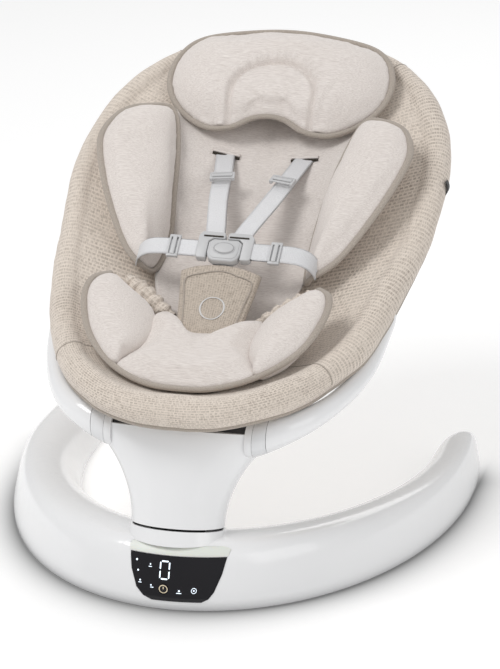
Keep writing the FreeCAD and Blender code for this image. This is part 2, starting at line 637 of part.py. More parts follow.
for side, word in ((1, "right"), (-1, "left")):
    outline = [("22.3", "-15"), ("34", "-15"), ("36", "-13"), ("36", "20"), ("31", "25"), ("3.5", "25"),
               ("1.8", "23"), ("1.8", "15"), ("17", "15"), ("22.3", "10.5")]
    if side < 0:
        outline = [("-" + x, y) for x, y in outline]
    plate(word + "_connector", outline, "2", "11", HARNESS)
    body = PARTS[-1]
    x_low, x_high = sorted((16.0 * side, 37.0 * side))
    pocket(body, word + "_web_slot", "XZ_Plane",
           [(str(x_low), "9"), (str(x_high), "9"), (str(x_high), "11.4"), (str(x_low), "11.4")],
           "Sizes.webbing_width + 0.8", both=True)
    tongue = closed_sketch(body, word + "_tongue_outline", "XY_Plane",
                           [(str(8 * side), "-7.6"), (str(23 * side), "-7.6"), (str(23 * side), "7.6"), (str(8 * side), "7.6")])
    tongue.setExpression(".AttachmentOffset.Base.z", "4.2")
    pad = body.newObject("PartDesign::Pad", word + "_tongue")
    pad.Profile = tongue
    pad.Length = 3.8
    doc.recompute()
    PARTS[-1] = body

    # waist webbing lies in the connector's slot; it does not move with the connector
    waist = doc.addObject("Part::Box", word + "_waist_webbing")
    waist.setExpression("Length", "Sizes.waist_reach - 24")
    waist.setExpression("Width", "Sizes.webbing_width")
    waist.setExpression("Height", "Sizes.webbing_thick")
    start = 24 if side > 0 else -size("waist_reach")
    waist.Placement = HARNESS.multiply(Placement(Vector(start, -W2, 9.4), Rotation()))
    finish(waist, word + "_waist_webbing")
    slide = Part.makeBox(13, 31, 6, Vector(side * 66 - 6.5, -15.5, 7.2)).cut(
        Part.makeBox(20, 2 * W2 + 0.8, T + 0.8, Vector(side * 66 - 10, -W2 - 0.4, 9.0)))
    coded(word + "_waist_adjuster", move_to(slide, HARNESS))

    # shoulder webbing: the lower length rides with the connector, the upper with the seat
    foot = HARNESS.multVec(Vector(side * size("strap_end_x"), 25.5, 7))
    top = Vector(side * size("slot_x"), size("slot_y"), size("slot_z"))
    along = (top - foot).normalize()
    flat = Vector(1, 0, 0) - along * along.x
    flat.normalize()
    out = flat.cross(along)
    strap_turn = Rotation(flat, along, out, "YXZ")
    length = (top - foot).Length
    knee = 0.62 * length
    strap_place = Placement(foot, strap_turn)
    for label, low, high in (("lower", 1.2, knee - 1.5), ("upper", knee + 2.0, length)):
        web = doc.addObject("Part::Box", f"{word}_{label}_shoulder_webbing")
        web.setExpression("Length", "Sizes.webbing_width")
        web.Width = high - low
        web.setExpression("Height", "Sizes.webbing_thick")
        web.Placement = strap_place.multiply(Placement(Vector(-W2, low, -T / 2), Rotation()))
        finish(web, f"{word}_{label}_shoulder_webbing")
    ring = Part.makeBox(31, size("adjuster_length"), 6, Vector(-15.5, knee + 1.5, -3)).cut(
        Part.makeBox(2 * W2 + 0.8, 40, T + 0.8, Vector(-W2 - 0.4, knee - 10, -T / 2 - 0.4)))
    coded(word + "_shoulder_adjuster", move_to(ring, strap_place))

# crotch pad: a stitched fabric shield over the crotch webbing
plate("crotch_pad", [("-40", "0"), ("40", "0"), ("51", "Sizes.pad_length - 4"), ("26", "Sizes.pad_length"),
                     ("-26", "Sizes.pad_length"), ("-51", "Sizes.pad_length - 4")], "0", "Sizes.pad_thick", PAD)
web_low = PAD.multVec(Vector(0, 4, -2.6))
web_high = HARNESS.multVec(Vector(0, -18.3, 4))
along = (web_high - web_low).normalize()
turn = Rotation(Vector(1, 0, 0), along, Vector(1, 0, 0).cross(along), "YXZ")
crotch = Part.makeBox(2 * W2, (web_high - web_low).Length, T, Vector(-W2, 0, -T / 2))
coded("crotch_webbing", move_to(crotch, Placement(web_low, turn)).cut(thigh).cut(PARTS[-1].Shape))

# a small woven label on the right side of the rim
tag_y = 118.0
tag_x = between(tag_y, RIM_X) + R_RIM + 0.2
tag_z = between(tag_y, RIM_Z)
coded("side_label", block((tag_x, tag_x + 1.0), (tag_y - 6, tag_y + 6), (tag_z - 8, tag_z + 8)).cut(rim_fat))

# ---------------------------------------------------------------- check and write
doc.recompute()
problems = []
for part in PARTS:
    if any(word in part.State for word in ("Invalid", "Error")) or part.Shape.isNull() or not part.Shape.isValid():
        problems.append(part.Label)
if problems:
    raise RuntimeError("not sound: " + ", ".join(problems))
for part in PARTS:
    part.Shape.exportStep(f"parts/{part.Label}.step")
print(len(PARTS), "nodes")
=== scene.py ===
import math
import bpy
from mathutils import Matrix, Vector, noise


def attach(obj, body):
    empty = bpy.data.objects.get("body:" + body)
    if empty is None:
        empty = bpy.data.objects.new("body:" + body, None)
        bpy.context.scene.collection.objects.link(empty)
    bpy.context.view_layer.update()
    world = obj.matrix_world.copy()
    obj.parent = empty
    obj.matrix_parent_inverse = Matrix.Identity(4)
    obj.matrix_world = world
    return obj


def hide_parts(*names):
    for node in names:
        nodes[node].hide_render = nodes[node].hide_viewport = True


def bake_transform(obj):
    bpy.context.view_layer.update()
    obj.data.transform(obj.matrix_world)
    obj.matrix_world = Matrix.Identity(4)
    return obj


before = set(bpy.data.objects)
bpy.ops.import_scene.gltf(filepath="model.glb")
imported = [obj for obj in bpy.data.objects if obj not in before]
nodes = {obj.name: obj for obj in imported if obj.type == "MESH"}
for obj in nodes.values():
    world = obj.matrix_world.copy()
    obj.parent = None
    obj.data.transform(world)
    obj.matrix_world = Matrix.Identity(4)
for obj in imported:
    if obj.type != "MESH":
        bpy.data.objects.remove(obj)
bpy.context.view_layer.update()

SIDES = ((1, "right"), (-1, "left"))

# ------------------------------------------------------------------ view, floor and lights
# A long lens from the foot end, a little to the side and above.
# Even studio light from the world, with a key lamp at the left, a weak fill and a lamp from behind.
camera_data = bpy.data.cameras.new("camera")
camera_data.lens = 177.8
camera_data.clip_end = 50.0
camera = bpy.data.objects.new("camera", camera_data)
bpy.context.collection.objects.link(camera)
camera.location = (1.0003, -3.876, 1.6885)
looked_at = Vector((0.0375, -0.071, 0.2599))
camera.rotation_euler = (looked_at - camera.location).to_track_quat("-Z", "Y").to_euler()
bpy.context.scene.camera = camera

world = bpy.data.worlds.new("studio")
world.use_nodes = True
backdrop = world.node_tree.nodes["Background"].inputs
backdrop["Color"].default_value = (1.0, 1.0, 1.0, 1.0)
backdrop["Strength"].default_value = 0.56
bpy.context.scene.world = world
bpy.context.scene.view_settings.view_transform = "Standard"


def lamp(name, place, aim, power, width):
    light = bpy.data.lights.new(name, "AREA")
    light.energy = power
    light.size = width
    lit = bpy.data.objects.new(name, light)
    bpy.context.collection.objects.link(lit)
    lit.location = place
    lit.rotation_euler = (Vector(aim) - Vector(place)).to_track_quat("-Z", "Y").to_euler()


lamp("key_light", (-1.2, -1.0, 2.6), (0, 0, 0.2), 32.0, 1.1)
lamp("fill_light", (2.2, -1.4, 1.5), (0, 0, 0.2), 12.0, 1.8)
lamp("back_light", (0.3, 2.4, 2.2), (0, 0, 0.3), 16.0, 1.6)


# ------------------------------------------------------------------ shader sums
# A Wire is one socket of a material, so that sums on it read as sums.
# A Finish is a material under way; every piece below is painted with one.
class Wire:
    def __init__(self, tree, socket):
        self.tree = tree
        self.socket = socket

    def maths(self, kind, *values):
        node = self.tree.nodes.new("ShaderNodeMath")
        node.operation = kind
        for slot, value in zip(node.inputs, values):
            join(self.tree, slot, value)
        return Wire(self.tree, node.outputs[0])

    def sum(self, kind, *others):
        return self.maths(kind, self, *others)

    def whole(self):
        return self.sum("FLOOR")

    def part(self):
        return self.sum("FRACT")

    def wave(self):
        return self.sum("SINE")

    def size(self):
        return self.sum("ABSOLUTE")


for word, kind in (("add", "ADD"), ("sub", "SUBTRACT"), ("mul", "MULTIPLY"), ("truediv", "DIVIDE"), ("pow", "POWER"),
                   ("gt", "GREATER_THAN"), ("lt", "LESS_THAN")):
    setattr(Wire, f"__{word}__", lambda self, other, kind=kind: self.maths(kind, self, other))
for word, kind in (("radd", "ADD"), ("rsub", "SUBTRACT"), ("rmul", "MULTIPLY")):
    setattr(Wire, f"__{word}__", lambda self, other, kind=kind: self.maths(kind, other, self))


def join(tree, slot, value):
    if isinstance(value, Wire):
        tree.links.new(value.socket, slot)
    elif hasattr(slot.default_value, "__len__") and isinstance(value, (tuple, list)):
        slot.default_value = tuple(value) + (1.0,) * (len(slot.default_value) - len(value))
    else:
        slot.default_value = value


class Finish:
    """A material under way: its nodes, and the shader that they feed."""

    def __init__(self, name, **constants):
        self.material = bpy.data.materials.new(name)
        self.material.use_nodes = True
        self.tree = self.material.node_tree
        self.shader = self.tree.nodes["Principled BSDF"]
        self.feed(**constants)

    def feed(self, **values):
        for words, value in values.items():
            join(self.tree, self.shader.inputs[words.replace("_", " ")], value)

    def node(self, kind, settings=(), out=0, **inputs):
        made = self.tree.nodes.new("ShaderNode" + kind)
        for word, value in dict(settings).items():
            setattr(made, word, value)
        for words, value in inputs.items():
            join(self.tree, made.inputs[words.replace("_", " ")], value)
        return Wire(self.tree, made.outputs[out])

    def place(self):
        return self.node("TexCoord", out=3)

    def cloth_place(self):
        return self.node("UVMap")

    def grain(self, where, scale, detail=2.0, roughness=0.5):
        return self.node("TexNoise", Vector=where, Scale=scale, Detail=detail, Roughness=roughness)

    def split(self, where):
        made = self.tree.nodes.new("ShaderNodeSeparateXYZ")
        join(self.tree, made.inputs[0], where)
        return [Wire(self.tree, socket) for socket in made.outputs]

    def joined(self, x, y, z=0.0):
        return self.node("CombineXYZ", X=x, Y=y, Z=z)

    def tint(self, factor, first, second):
        made = self.tree.nodes.new("ShaderNodeMix")
        made.data_type = "RGBA"
        join(self.tree, made.inputs[0], factor)
        join(self.tree, made.inputs[6], first)
        join(self.tree, made.inputs[7], second)
        return Wire(self.tree, made.outputs[2])

    def relief(self, height, deep, strength=1.0):
        self.feed(Normal=self.node("Bump", Strength=strength, Distance=deep, Height=height))


def paint(node, finish):
    thing = nodes[node] if isinstance(node, str) else node
    if not thing.material_slots:
        thing.data.materials.append(finish.material)
    for slot in thing.material_slots:
        slot.link = "OBJECT" if isinstance(node, str) else "DATA"
        slot.material = finish.material


# ------------------------------------------------------------------ base and neck mouldings
# Glossy white ABS: the horseshoe base, the neck, its hub bands and the two seat arms.
# Injection moulded, so it has a faint orange peel and a few fine handling marks.
white_abs = Finish("white_abs", Roughness=0.16, Coat_Weight=0.35, Coat_Roughness=0.06, Specular_IOR_Level=0.5)
where = white_abs.place()
cloud = white_abs.grain(where, 3.0, 3.0)
marks = white_abs.grain(where, 140.0, 4.0, 0.7)
white_abs.feed(Base_Color=white_abs.tint(cloud, (0.80, 0.805, 0.815), (0.86, 0.86, 0.865)),
               Roughness=0.11 + 0.12 * marks)
white_abs.relief(white_abs.grain(where, 420.0, 1.0), 0.00006, 0.35)
for name in ("base_shell", "neck_shell", "right_arm", "left_arm"):
    paint(name, white_abs)

# The hub bands are a shade clearer than the neck and arms that they part.
band_abs = Finish("band_abs", Roughness=0.12, Coat_Weight=0.5, Coat_Roughness=0.04)
where = band_abs.place()
band_abs.feed(Base_Color=band_abs.tint(band_abs.grain(where, 40.0), (0.70, 0.71, 0.72), (0.80, 0.80, 0.81)))
band_abs.relief(band_abs.grain(where, 300.0), 0.00005, 0.3)
paint("hub_bands", band_abs)

# ------------------------------------------------------------------ black and grey working parts
# Dark moulded plastic with a fine spark-eroded grain: plate, housings, coil former, inner core.
# Then rubber, turned steel, wound copper, the green circuit board and the seat's stiffening board.
dark_plastic = Finish("dark_plastic", Specular_IOR_Level=0.4)
where = dark_plastic.place()
shade = dark_plastic.tint(dark_plastic.grain(where, 30.0), (0.030, 0.030, 0.033), (0.055, 0.055, 0.06))
dark_plastic.feed(Base_Color=shade, Roughness=0.42 + 0.2 * dark_plastic.grain(where, 200.0))
dark_plastic.relief(dark_plastic.grain(where, 900.0, 3.0), 0.0001, 0.6)
for name in ("base_bottom_plate", "dc_inlet", "bearing_housing", "coil_bobbin", "coil_bracket", "neck_core",
             "neck_floor_plate", "magnet_arm", "speaker"):
    paint(name, dark_plastic)

rubber = Finish("rubber", Specular_IOR_Level=0.3)
where = rubber.place()
rubber.feed(Base_Color=rubber.tint(rubber.grain(where, 60.0), (0.02, 0.02, 0.02), (0.045, 0.043, 0.04)),
            Roughness=0.7 + 0.2 * rubber.grain(where, 150.0))
rubber.relief(rubber.grain(where, 700.0), 0.0001, 0.5)
for name in ("rubber_feet", "stop_bumpers", "seal_ring"):
    paint(name, rubber)

steel = Finish("steel", Metallic=1.0)
where = steel.place()
across, along, up = steel.split(where)
turning = steel.grain(steel.joined(across * 40.0, along * 40.0, up * 1800.0), 1.0, 3.0)
steel.feed(Base_Color=steel.tint(turning, (0.42, 0.42, 0.43), (0.62, 0.62, 0.63)), Roughness=0.2 + 0.25 * turning)
steel.relief(turning, 0.00005, 0.5)
for name in ("base_screws", "housing_screws", "bearing_outer_rings", "bearing_inner_rings", "bearing_balls",
             "swing_shaft", "shaft_nut", "neck_screws", "recline_pins", "drive_magnets", "seat_hoop"):
    paint(name, steel)

copper = Finish("copper_wire", Metallic=1.0)
across, along, up = copper.split(copper.place())
turns = (up * 9000.0 + along * 900.0).wave()
# The colour runs light on each turn's crown and dark between turns: painted shade in the winding's grooves.
copper.feed(Base_Color=copper.tint(turns * 0.5 + 0.5, (0.30, 0.11, 0.05), (0.62, 0.28, 0.14)),
            Roughness=0.25 + 0.15 * turns)
copper.relief(turns, 0.0001, 0.8)
paint("coil_winding", copper)

board_green = Finish("board_green", Specular_IOR_Level=0.5)
across, along, up = board_green.split(board_green.place())
tracks = ((across * 260.0).part() > 0.82) * ((up * 90.0).part() > 0.3)
board_green.feed(Base_Color=board_green.tint(tracks, (0.01, 0.10, 0.05), (0.03, 0.26, 0.12)),
                 Roughness=0.3 + 0.1 * tracks)
paint("control_board", board_green)

pressed_board = Finish("pressed_board", Specular_IOR_Level=0.2)
where = pressed_board.place()
shade = pressed_board.tint(pressed_board.grain(where, 160.0, 5.0, 0.7), (0.30, 0.20, 0.11), (0.52, 0.38, 0.24))
pressed_board.feed(Base_Color=shade, Roughness=0.75 + 0.15 * pressed_board.grain(where, 300.0))
paint("seat_board", pressed_board)

# ------------------------------------------------------------------ control window
# A smoked acrylic window let into the front of the base, with a lit digit and lit signs on it.
# The power key is part of the same window and carries a gold ring; the ring and the key's mark are given a faint
# painted glow.
smoked = Finish("smoked_acrylic", Coat_Weight=0.1, Coat_Roughness=0.02, Specular_IOR_Level=0.25)
where = smoked.place()
smoked.feed(Base_Color=smoked.tint(smoked.grain(where, 8.0), (0.006, 0.006, 0.008), (0.014, 0.013, 0.016)),
            Roughness=0.05 + 0.06 * smoked.grain(where, 90.0, 4.0, 0.7))
paint("control_window", smoked)
paint("power_key", smoked)

# Cream diffuser strip over the window, with the small dots of its moulding texture.
diffuser = Finish("diffuser", Subsurface_Weight=0.1, Specular_IOR_Level=0.45)
where = diffuser.place()
across, along, up = diffuser.split(where)
diffuser.feed(Base_Color=diffuser.tint(diffuser.grain(where, 25.0), (0.74, 0.73, 0.66), (0.81, 0.80, 0.74)),
              Roughness=0.32 + 0.12 * diffuser.grain(where, 160.0))
diffuser.relief((across * 2600.0).wave() * (up * 2600.0).wave(), 0.00008, 0.5)
paint("light_strip", diffuser)

lit_sign = Finish("lit_sign", Emission_Strength=1.0, Roughness=0.3)
where = lit_sign.place()
glow = lit_sign.tint(lit_sign.grain(where, 300.0), (0.62, 0.74, 0.86), (0.84, 0.90, 0.95))
lit_sign.feed(Base_Color=glow, Emission_Color=glow)
# Gold for the key's ring and mark, with a faint painted glow on top.
key_gold_glow = Finish("key_gold_glow", Emission_Strength=0.25, Roughness=0.3)
glow = key_gold_glow.tint(key_gold_glow.grain(key_gold_glow.place(), 300.0), (0.62, 0.52, 0.36), (0.78, 0.68, 0.5))
key_gold_glow.feed(Base_Color=glow, Emission_Color=glow)


def clear_selection():
    if bpy.context.object and bpy.context.object.mode != "OBJECT":
        bpy.ops.object.mode_set(mode="OBJECT")
    bpy.ops.object.select_all(action="DESELECT")


def named(name):
    """Names the object that an operator has just added, and its mesh."""
    thing = bpy.context.object
    thing.name = name
    thing.data.name = name
    return thing


def make_active(thing):
    clear_selection()
    thing.select_set(True)
    bpy.context.view_layer.objects.active = thing


def face_outwards():
    """Turns every face of the mesh in edit mode outwards, then leaves edit mode."""
    bpy.ops.mesh.select_all(action="SELECT")
    bpy.ops.mesh.normals_make_consistent(inside=False)
    bpy.ops.object.mode_set(mode="OBJECT")


def thicken(move):
    """Extrudes the active flat outline by a move, in metres."""
    bpy.ops.object.mode_set(mode="EDIT")
    bpy.ops.mesh.select_all(action="SELECT")
    bpy.ops.mesh.extrude_region_move(TRANSFORM_OT_translate={"value": move})
    face_outwards()


def close_ends(join_doubles=False):
    """Caps the open ends of the active mesh."""
    bpy.ops.object.mode_set(mode="EDIT")
    if join_doubles:
        bpy.ops.mesh.select_all(action="SELECT")
        bpy.ops.mesh.remove_doubles(threshold=0.00001)
    bpy.ops.mesh.select_all(action="DESELECT")
    bpy.ops.mesh.select_non_manifold()
    bpy.ops.mesh.edge_face_add()
    face_outwards()


def other_side(points):
    return [(-x, y, z) for x, y, z in points]


SIGN_THICK = 0.0003
IN_FRONT_OF_BASE = -0.6


def window_point(x, z, proud=0.00035):
    """The point on the front of the window or key at this place, a hair in front of it."""
    best = None
    for name in ("control_window", "power_key", "base_shell"):
        hit, spot, normal, face = nodes[name].ray_cast(Vector((x, IN_FRONT_OF_BASE, z)), Vector((0, 1, 0)))
        if hit and (best is None or spot.y < best.y):
            best = spot
    return Vector((x, best.y - proud, z))


def sign(name, outline, finish, body="base"):
    """A flat lit mark on the window: a filled ring of corners laid on its curved face."""
    clear_selection()
    bpy.ops.mesh.primitive_circle_add(vertices=len(outline), radius=0.01, fill_type="NGON")
    mark = named(name)
    for corner, (x, z) in zip(mark.data.vertices, outline):
        corner.co = window_point(x / 1000, z / 1000)
    thicken((0, SIGN_THICK, 0))
    paint(mark, finish)
    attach(mark, body)


def bar_outline(x, z, wide, tall):
    cut = min(wide, tall) / 2
    if wide > tall:
        return [(x - wide / 2, z), (x - wide / 2 + cut, z - cut), (x + wide / 2 - cut, z - cut), (x + wide / 2, z),
                (x + wide / 2 - cut, z + cut), (x - wide / 2 + cut, z + cut)]
    return [(x, z - tall / 2), (x + cut, z - tall / 2 + cut), (x + cut, z + tall / 2 - cut), (x, z + tall / 2),
            (x - cut, z + tall / 2 - cut), (x - cut, z - tall / 2 + cut)]


def round_outline(x, z, radius, count=14):
    turns = [2 * math.pi * k / count for k in range(count)]
    return [(x + radius * math.cos(turn), z + radius * math.sin(turn)) for turn in turns]


sign("digit_top", bar_outline(0, 59.0, 8.8, 1.6), lit_sign)
sign("digit_bottom", bar_outline(0, 38.5, 8.8, 1.6), lit_sign)
for side, word in ((-1, "left"), (1, "right")):
    sign(f"digit_upper_{word}", bar_outline(5.6 * side, 54.0, 1.6, 8.6), lit_sign)
    sign(f"digit_lower_{word}", bar_outline(5.6 * side, 43.5, 1.6, 8.6), lit_sign)
WINDOW_DOTS = [(-36.5, 57, 1.2), (-34, 45, 1.1), (-30.5, 34, 1.0), (-18.5, 54, 0.9), (-16, 30, 0.9), (19.5, 26.0, 1.1),
               (37.5, 27, 0.9)]
for number, (x, z, radius) in enumerate(WINDOW_DOTS, 1):
    sign(f"window_sign_{number}", round_outline(x, z, radius), lit_sign)
sign("window_sign_timer_bar", bar_outline(19.5, 23.4, 6.4, 0.8), lit_sign)
for number, (x, z) in enumerate(((-18.5, 51.2), (-30.5, 31.4), (-14.6, 27.6)), 1):
    sign(f"window_sign_underline_{number}", bar_outline(x, z, 4.4, 0.7), lit_sign)


def sign_ring(name, x, z, radius, thick, finish, body):
    clear_selection()
    spot = window_point(x / 1000, z / 1000, 0.0004)
    bpy.ops.mesh.primitive_torus_add(major_segments=40, minor_segments=8, major_radius=radius / 1000,
                                     minor_radius=thick / 1000, location=spot, rotation=(math.radians(90), 0, 0))
    ring = named(name)
    bpy.ops.object.transform_apply(location=True, rotation=True, scale=True)
    for corner in ring.data.vertices:
        corner.co.y = window_point(corner.co.x, corner.co.z, 0).y + (corner.co.y - spot.y) * 0.3 - 0.0003
    bpy.ops.object.shade_smooth()
    paint(ring, finish)
    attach(ring, body)


sign_ring("key_ring", 0, 27, 5.0, 0.55, key_gold_glow, "power_key")
sign_ring("window_sign_dial", 37.5, 27, 3.0, 0.32, lit_sign, "base")
sign("key_mark", bar_outline(0, 28.5, 1.0, 3.6), key_gold_glow, "power_key")


# ------------------------------------------------------------------ seat cover
# Heather linen-look cover with a printed rows-of-dashes pattern, quilted over wadding and drawn over the tube hoop.
# The rim is a soft roll; the cover falls from it into a shallow well and closes underneath.
def smooth_line(points, at, closed=True):
    """A point on the smooth line through the points, at from 0 to 1."""
    count = len(points)
    t = at * count if closed else at * (count - 1)
    i = int(math.floor(t))
    t -= i
    if closed:
        p = [Vector(points[(i + k) % count]) for k in (-1, 0, 1, 2)]
    else:
        i = min(i, count - 2)
        t = at * (count - 1) - i
        p = [Vector(points[min(max(i + k, 0), count - 1)]) for k in (-1, 0, 1, 2)]
    return 0.5 * ((2 * p[1]) + (p[2] - p[0]) * t + (2 * p[0] - 5 * p[1] + 4 * p[2] - p[3]) * t * t
                  + (3 * p[1] - p[0] - 3 * p[2] + p[3]) * t * t * t)


def both_sides(right):
    """A closed line from its right half; the first and last points lie on the middle."""
    return right + other_side(right[-2:0:-1])


def metres(points):
    return [(x / 1000, y / 1000, z / 1000) for x, y, z in points]


RIM_LINE = metres(both_sides([(0, -306, 241), (61, -299, 244), (117, -259, 251), (157, -199, 260), (187, -126, 280),
                              (206, -54, 313), (220, 34, 351), (228, 110, 399), (222, 185, 438), (189, 256, 478),
                              (143, 303, 502), (80, 332, 514), (0, 338, 518)]))
WELL_LINE = metres([(0, -286, 245), (0, -205, 238), (0, -128, 243), (0, -75, 259), (0, -25, 289), (0, 45, 326),
                    (0, 105, 366), (0, 168, 404), (0, 216, 434), (0, 265, 462), (0, 310, 492)])
ROLL = 0.0192
UNDERSIDE_DROP = 0.0165


def well_height(y):
    for a, b in zip(WELL_LINE, WELL_LINE[1:]):
        if y <= b[1]:
            break
    return a[2] + (b[2] - a[2]) * (y - a[1]) / (b[1] - a[1])


def soft_step(x):
    x = min(max(x, 0.0), 1.0)
    return x * x * (3 - 2 * x)


def cover_point(u, v):
    """The cover's skin: u goes round the rim, v from under the well, out round the roll and down into the well."""
    rim = smooth_line(RIM_LINE, u)
    ahead = smooth_line(RIM_LINE, (u + 0.004) % 1.0)
    along = (ahead - rim).normalized()
    spine_y = -0.01 + (rim.y + 0.01) * 0.72
    foot = Vector((0, spine_y, well_height(spine_y)))
    inward = foot - rim
    inward = (inward - along * inward.dot(along)).normalized()
    upward = inward.cross(along)
    if upward.z < 0:
        upward = -upward
    wrinkle = noise.noise(Vector((rim.x * 14, rim.y * 14, v * 6 + 3.1))) * 0.0022
    wrinkle += noise.noise(Vector((rim.x * 45, rim.y * 45, v * 9))) * 0.0009
    under, top = 0.30, 0.60
    if v < under:
        edge = rim + (ROLL + 0.001) * (0.45 * inward - 0.89 * upward)
        q = 1 - v / under
        point = edge.lerp(foot, q)
        depth = (1 - q) ** 2.4
        low = well_height(point.y) - UNDERSIDE_DROP
        point.z = low + (edge.z - low) * depth
        return point
    if v < top:
        q = (v - under) / (top - under)
        angle = math.radians(-63 - 243 * q)
        swell = 1 + 0.10 * math.sin(math.pi * q)
        return rim + (ROLL * swell + wrinkle) * (math.cos(angle) * inward + math.sin(angle) * upward)
    q = (v - top) / (1 - top)
    angle = math.radians(-306)
    edge = rim + ROLL * (math.cos(angle) * inward + math.sin(angle) * upward)
    point = edge.lerp(foot, q)
    low = well_height(point.y)
    fall = (1 - q) ** 1.7 + 0.35 * q * (1 - q) ** 1.2
    point.z = low + (edge.z - low) * fall + wrinkle * math.sin(math.pi * min(1.0, q * 2)) * 1.4
    return point


def laid_grid(name, across, along, place, wrap=False, reach=(1.0, 1.0)):
    """A grid of faces added flat, then laid on a shape: place(u, v) gives each corner its point."""
    clear_selection()
    bpy.ops.mesh.primitive_grid_add(x_subdivisions=across, y_subdivisions=along, size=2, calc_uvs=True)
    cloth = named(name)
    mesh = cloth.data
    spots = [((c.co.x + 1) / 2, (c.co.y + 1) / 2) for c in mesh.vertices]
    layer = mesh.uv_layers[0]
    layer.name = "cloth"
    for loop in mesh.loops:
        u, v = spots[loop.vertex_index]
        layer.data[loop.index].uv = (u * reach[0], v * reach[1])
    for corner, (u, v) in zip(mesh.vertices, spots):
        corner.co = place(u, v)
    bpy.ops.object.mode_set(mode="EDIT")
    bpy.ops.mesh.select_all(action="SELECT")
    if wrap:
        bpy.ops.mesh.remove_doubles(threshold=0.00005)
    face_outwards()
    bpy.ops.object.shade_smooth()
    return cloth


def cover_place(u, v):
    return cover_point(min(u, 1.0) % 1.0, v)


COVER_ROUND = 1.72
cover = laid_grid("seat_cover_skin", 220, 96, cover_place, True, (COVER_ROUND, 0.50))

linen = Finish("heather_linen", Roughness=0.92, Sheen_Weight=0.25, Sheen_Roughness=0.5, Specular_IOR_Level=0.15)


DASH_ROW, DASH_LENGTH, ROW_SHIFT = 0.0062, 0.0068, 0.0042


def linen_look(finish, where, dark, light, ink, print_on, pitch=1.0, panels=False):
    """Heather weave with rows of small printed dashes. On the cover's side panels the cloth is turned."""
    across, along, up = finish.split(where)
    if panels:
        from_head = (across / COVER_ROUND - 0.5).size()
        turned = (from_head > 0.085) * (from_head < 0.375)
        across, along = across + (along - across) * turned, along + (across - along) * turned
    across, along = across / pitch, along / pitch
    warp = (across * 4200.0 + 1.2 * finish.grain(where, 90.0)).wave()
    weft = (along * 4200.0 + 1.2 * finish.grain(where, 110.0)).wave()
    slub = finish.grain(finish.joined(across * 60.0, along * 900.0, up * 60.0), 1.0, 3.0, 0.6)
    slub_2 = finish.grain(finish.joined(across * 900.0, along * 60.0, up * 900.0), 1.0, 3.0, 0.6)
    base = finish.tint((slub + slub_2 - 0.66) * 2.9, dark, light)
    row = (along / DASH_ROW).whole()
    shift = (row * 0.37).part() * ROW_SHIFT
    column = ((across + shift) / DASH_LENGTH).whole()
    flat_noise = {"noise_dimensions": "2D"}
    chance = finish.node("TexWhiteNoise", flat_noise, Vector=finish.joined(column, row))
    long_dash = 0.24 + 0.24 * finish.node("TexWhiteNoise", flat_noise, Vector=finish.joined(column + 7.0, row + 3.0))
    in_x = ((((across + shift) / DASH_LENGTH).part() - 0.5).size() < long_dash)
    in_y = (((along / DASH_ROW).part() - 0.5).size() < 0.27)
    patch = finish.grain(where, 9.0, 2.0)
    shown = in_x * in_y * (chance * 0.6 + 0.4) * (patch * 1.6 - 0.12) * (0.6 + slub * 0.8) * print_on
    finish.feed(Base_Color=finish.tint(shown, base, ink))
    finish.relief(warp * weft * 0.12 + slub + slub_2 - shown * 0.3, 0.0006, 0.6)


linen_look(linen, linen.cloth_place(), (0.38, 0.32, 0.268), (0.76, 0.68, 0.60), (0.26, 0.205, 0.163), 0.74,
           pitch=0.82, panels=True)
paint(cover, linen)
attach(cover, "seat")
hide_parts("seat_cover", "padded_rim")


# ------------------------------------------------------------------ rim binding and seams
# A folded bias binding closes the cover along the rim's outer edge; flat seams cross the rim at the four corners.
def tube_piece(name, path, radius, count, closed=True, flat=1.0, sides=12, finish=None):
    """A cord or binding: a ring of corners carried along path(at)."""
    step = 1.0 / count

    def place(u, v):
        at = min(u, 1.0) % 1.0 if closed else u
        spot = path(at)
        nxt = path((at + step * 0.5) % 1.0 if closed else min(at + step * 0.5, 1.0))
        last = path((at - step * 0.5) % 1.0 if closed else max(at - step * 0.5, 0.0))
        along = (nxt - last).normalized()
        side = along.cross(Vector((0, 0, 1))).normalized()
        top = side.cross(along).normalized()
        angle = 2 * math.pi * v
        return spot + radius * (math.cos(angle) * side + math.sin(angle) * top * flat)

    length = sum((path((k + 1) * step * 0.9999) - path(k * step)).length for k in range(count))
    cord = laid_grid(name, count, sides, place, True, (length, 2 * math.pi * radius))
    if not closed:
        close_ends()
    paint(cord, finish)
    return cord


binding_cloth = Finish("binding_cloth", Roughness=0.93, Sheen_Weight=0.25, Specular_IOR_Level=0.15)
where = binding_cloth.cloth_place()
across, along, up = binding_cloth.split(where)
twill = ((across + along) * 3600.0).wave()
fleck = binding_cloth.grain(binding_cloth.joined(across * 500.0, along * 900.0, 0.0), 1.0, 3.0, 0.7)
binding_cloth.feed(Base_Color=binding_cloth.tint(fleck * 1.3 - 0.15, (0.24, 0.20, 0.165), (0.62, 0.555, 0.49)))
binding_cloth.relief(twill * 0.5 + fleck, 0.0005, 0.6)

rim_binding = tube_piece("rim_binding", lambda at: cover_point(at, 0.375), 0.0030, 220, finish=binding_cloth)
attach(rim_binding, "seat")
for side, word in ((0, "right"), (1, "left")):
    for name, at in (("foot", 0.125), ("head", 0.415)):
        u = at if side == 0 else 1 - at
        seam = tube_piece(f"{word}_{name}_seam", lambda q, u=u: cover_point(u, 0.42 + 0.36 * q), 0.0011, 40,
                          closed=False, flat=0.6, sides=8, finish=binding_cloth)
        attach(seam, "seat")


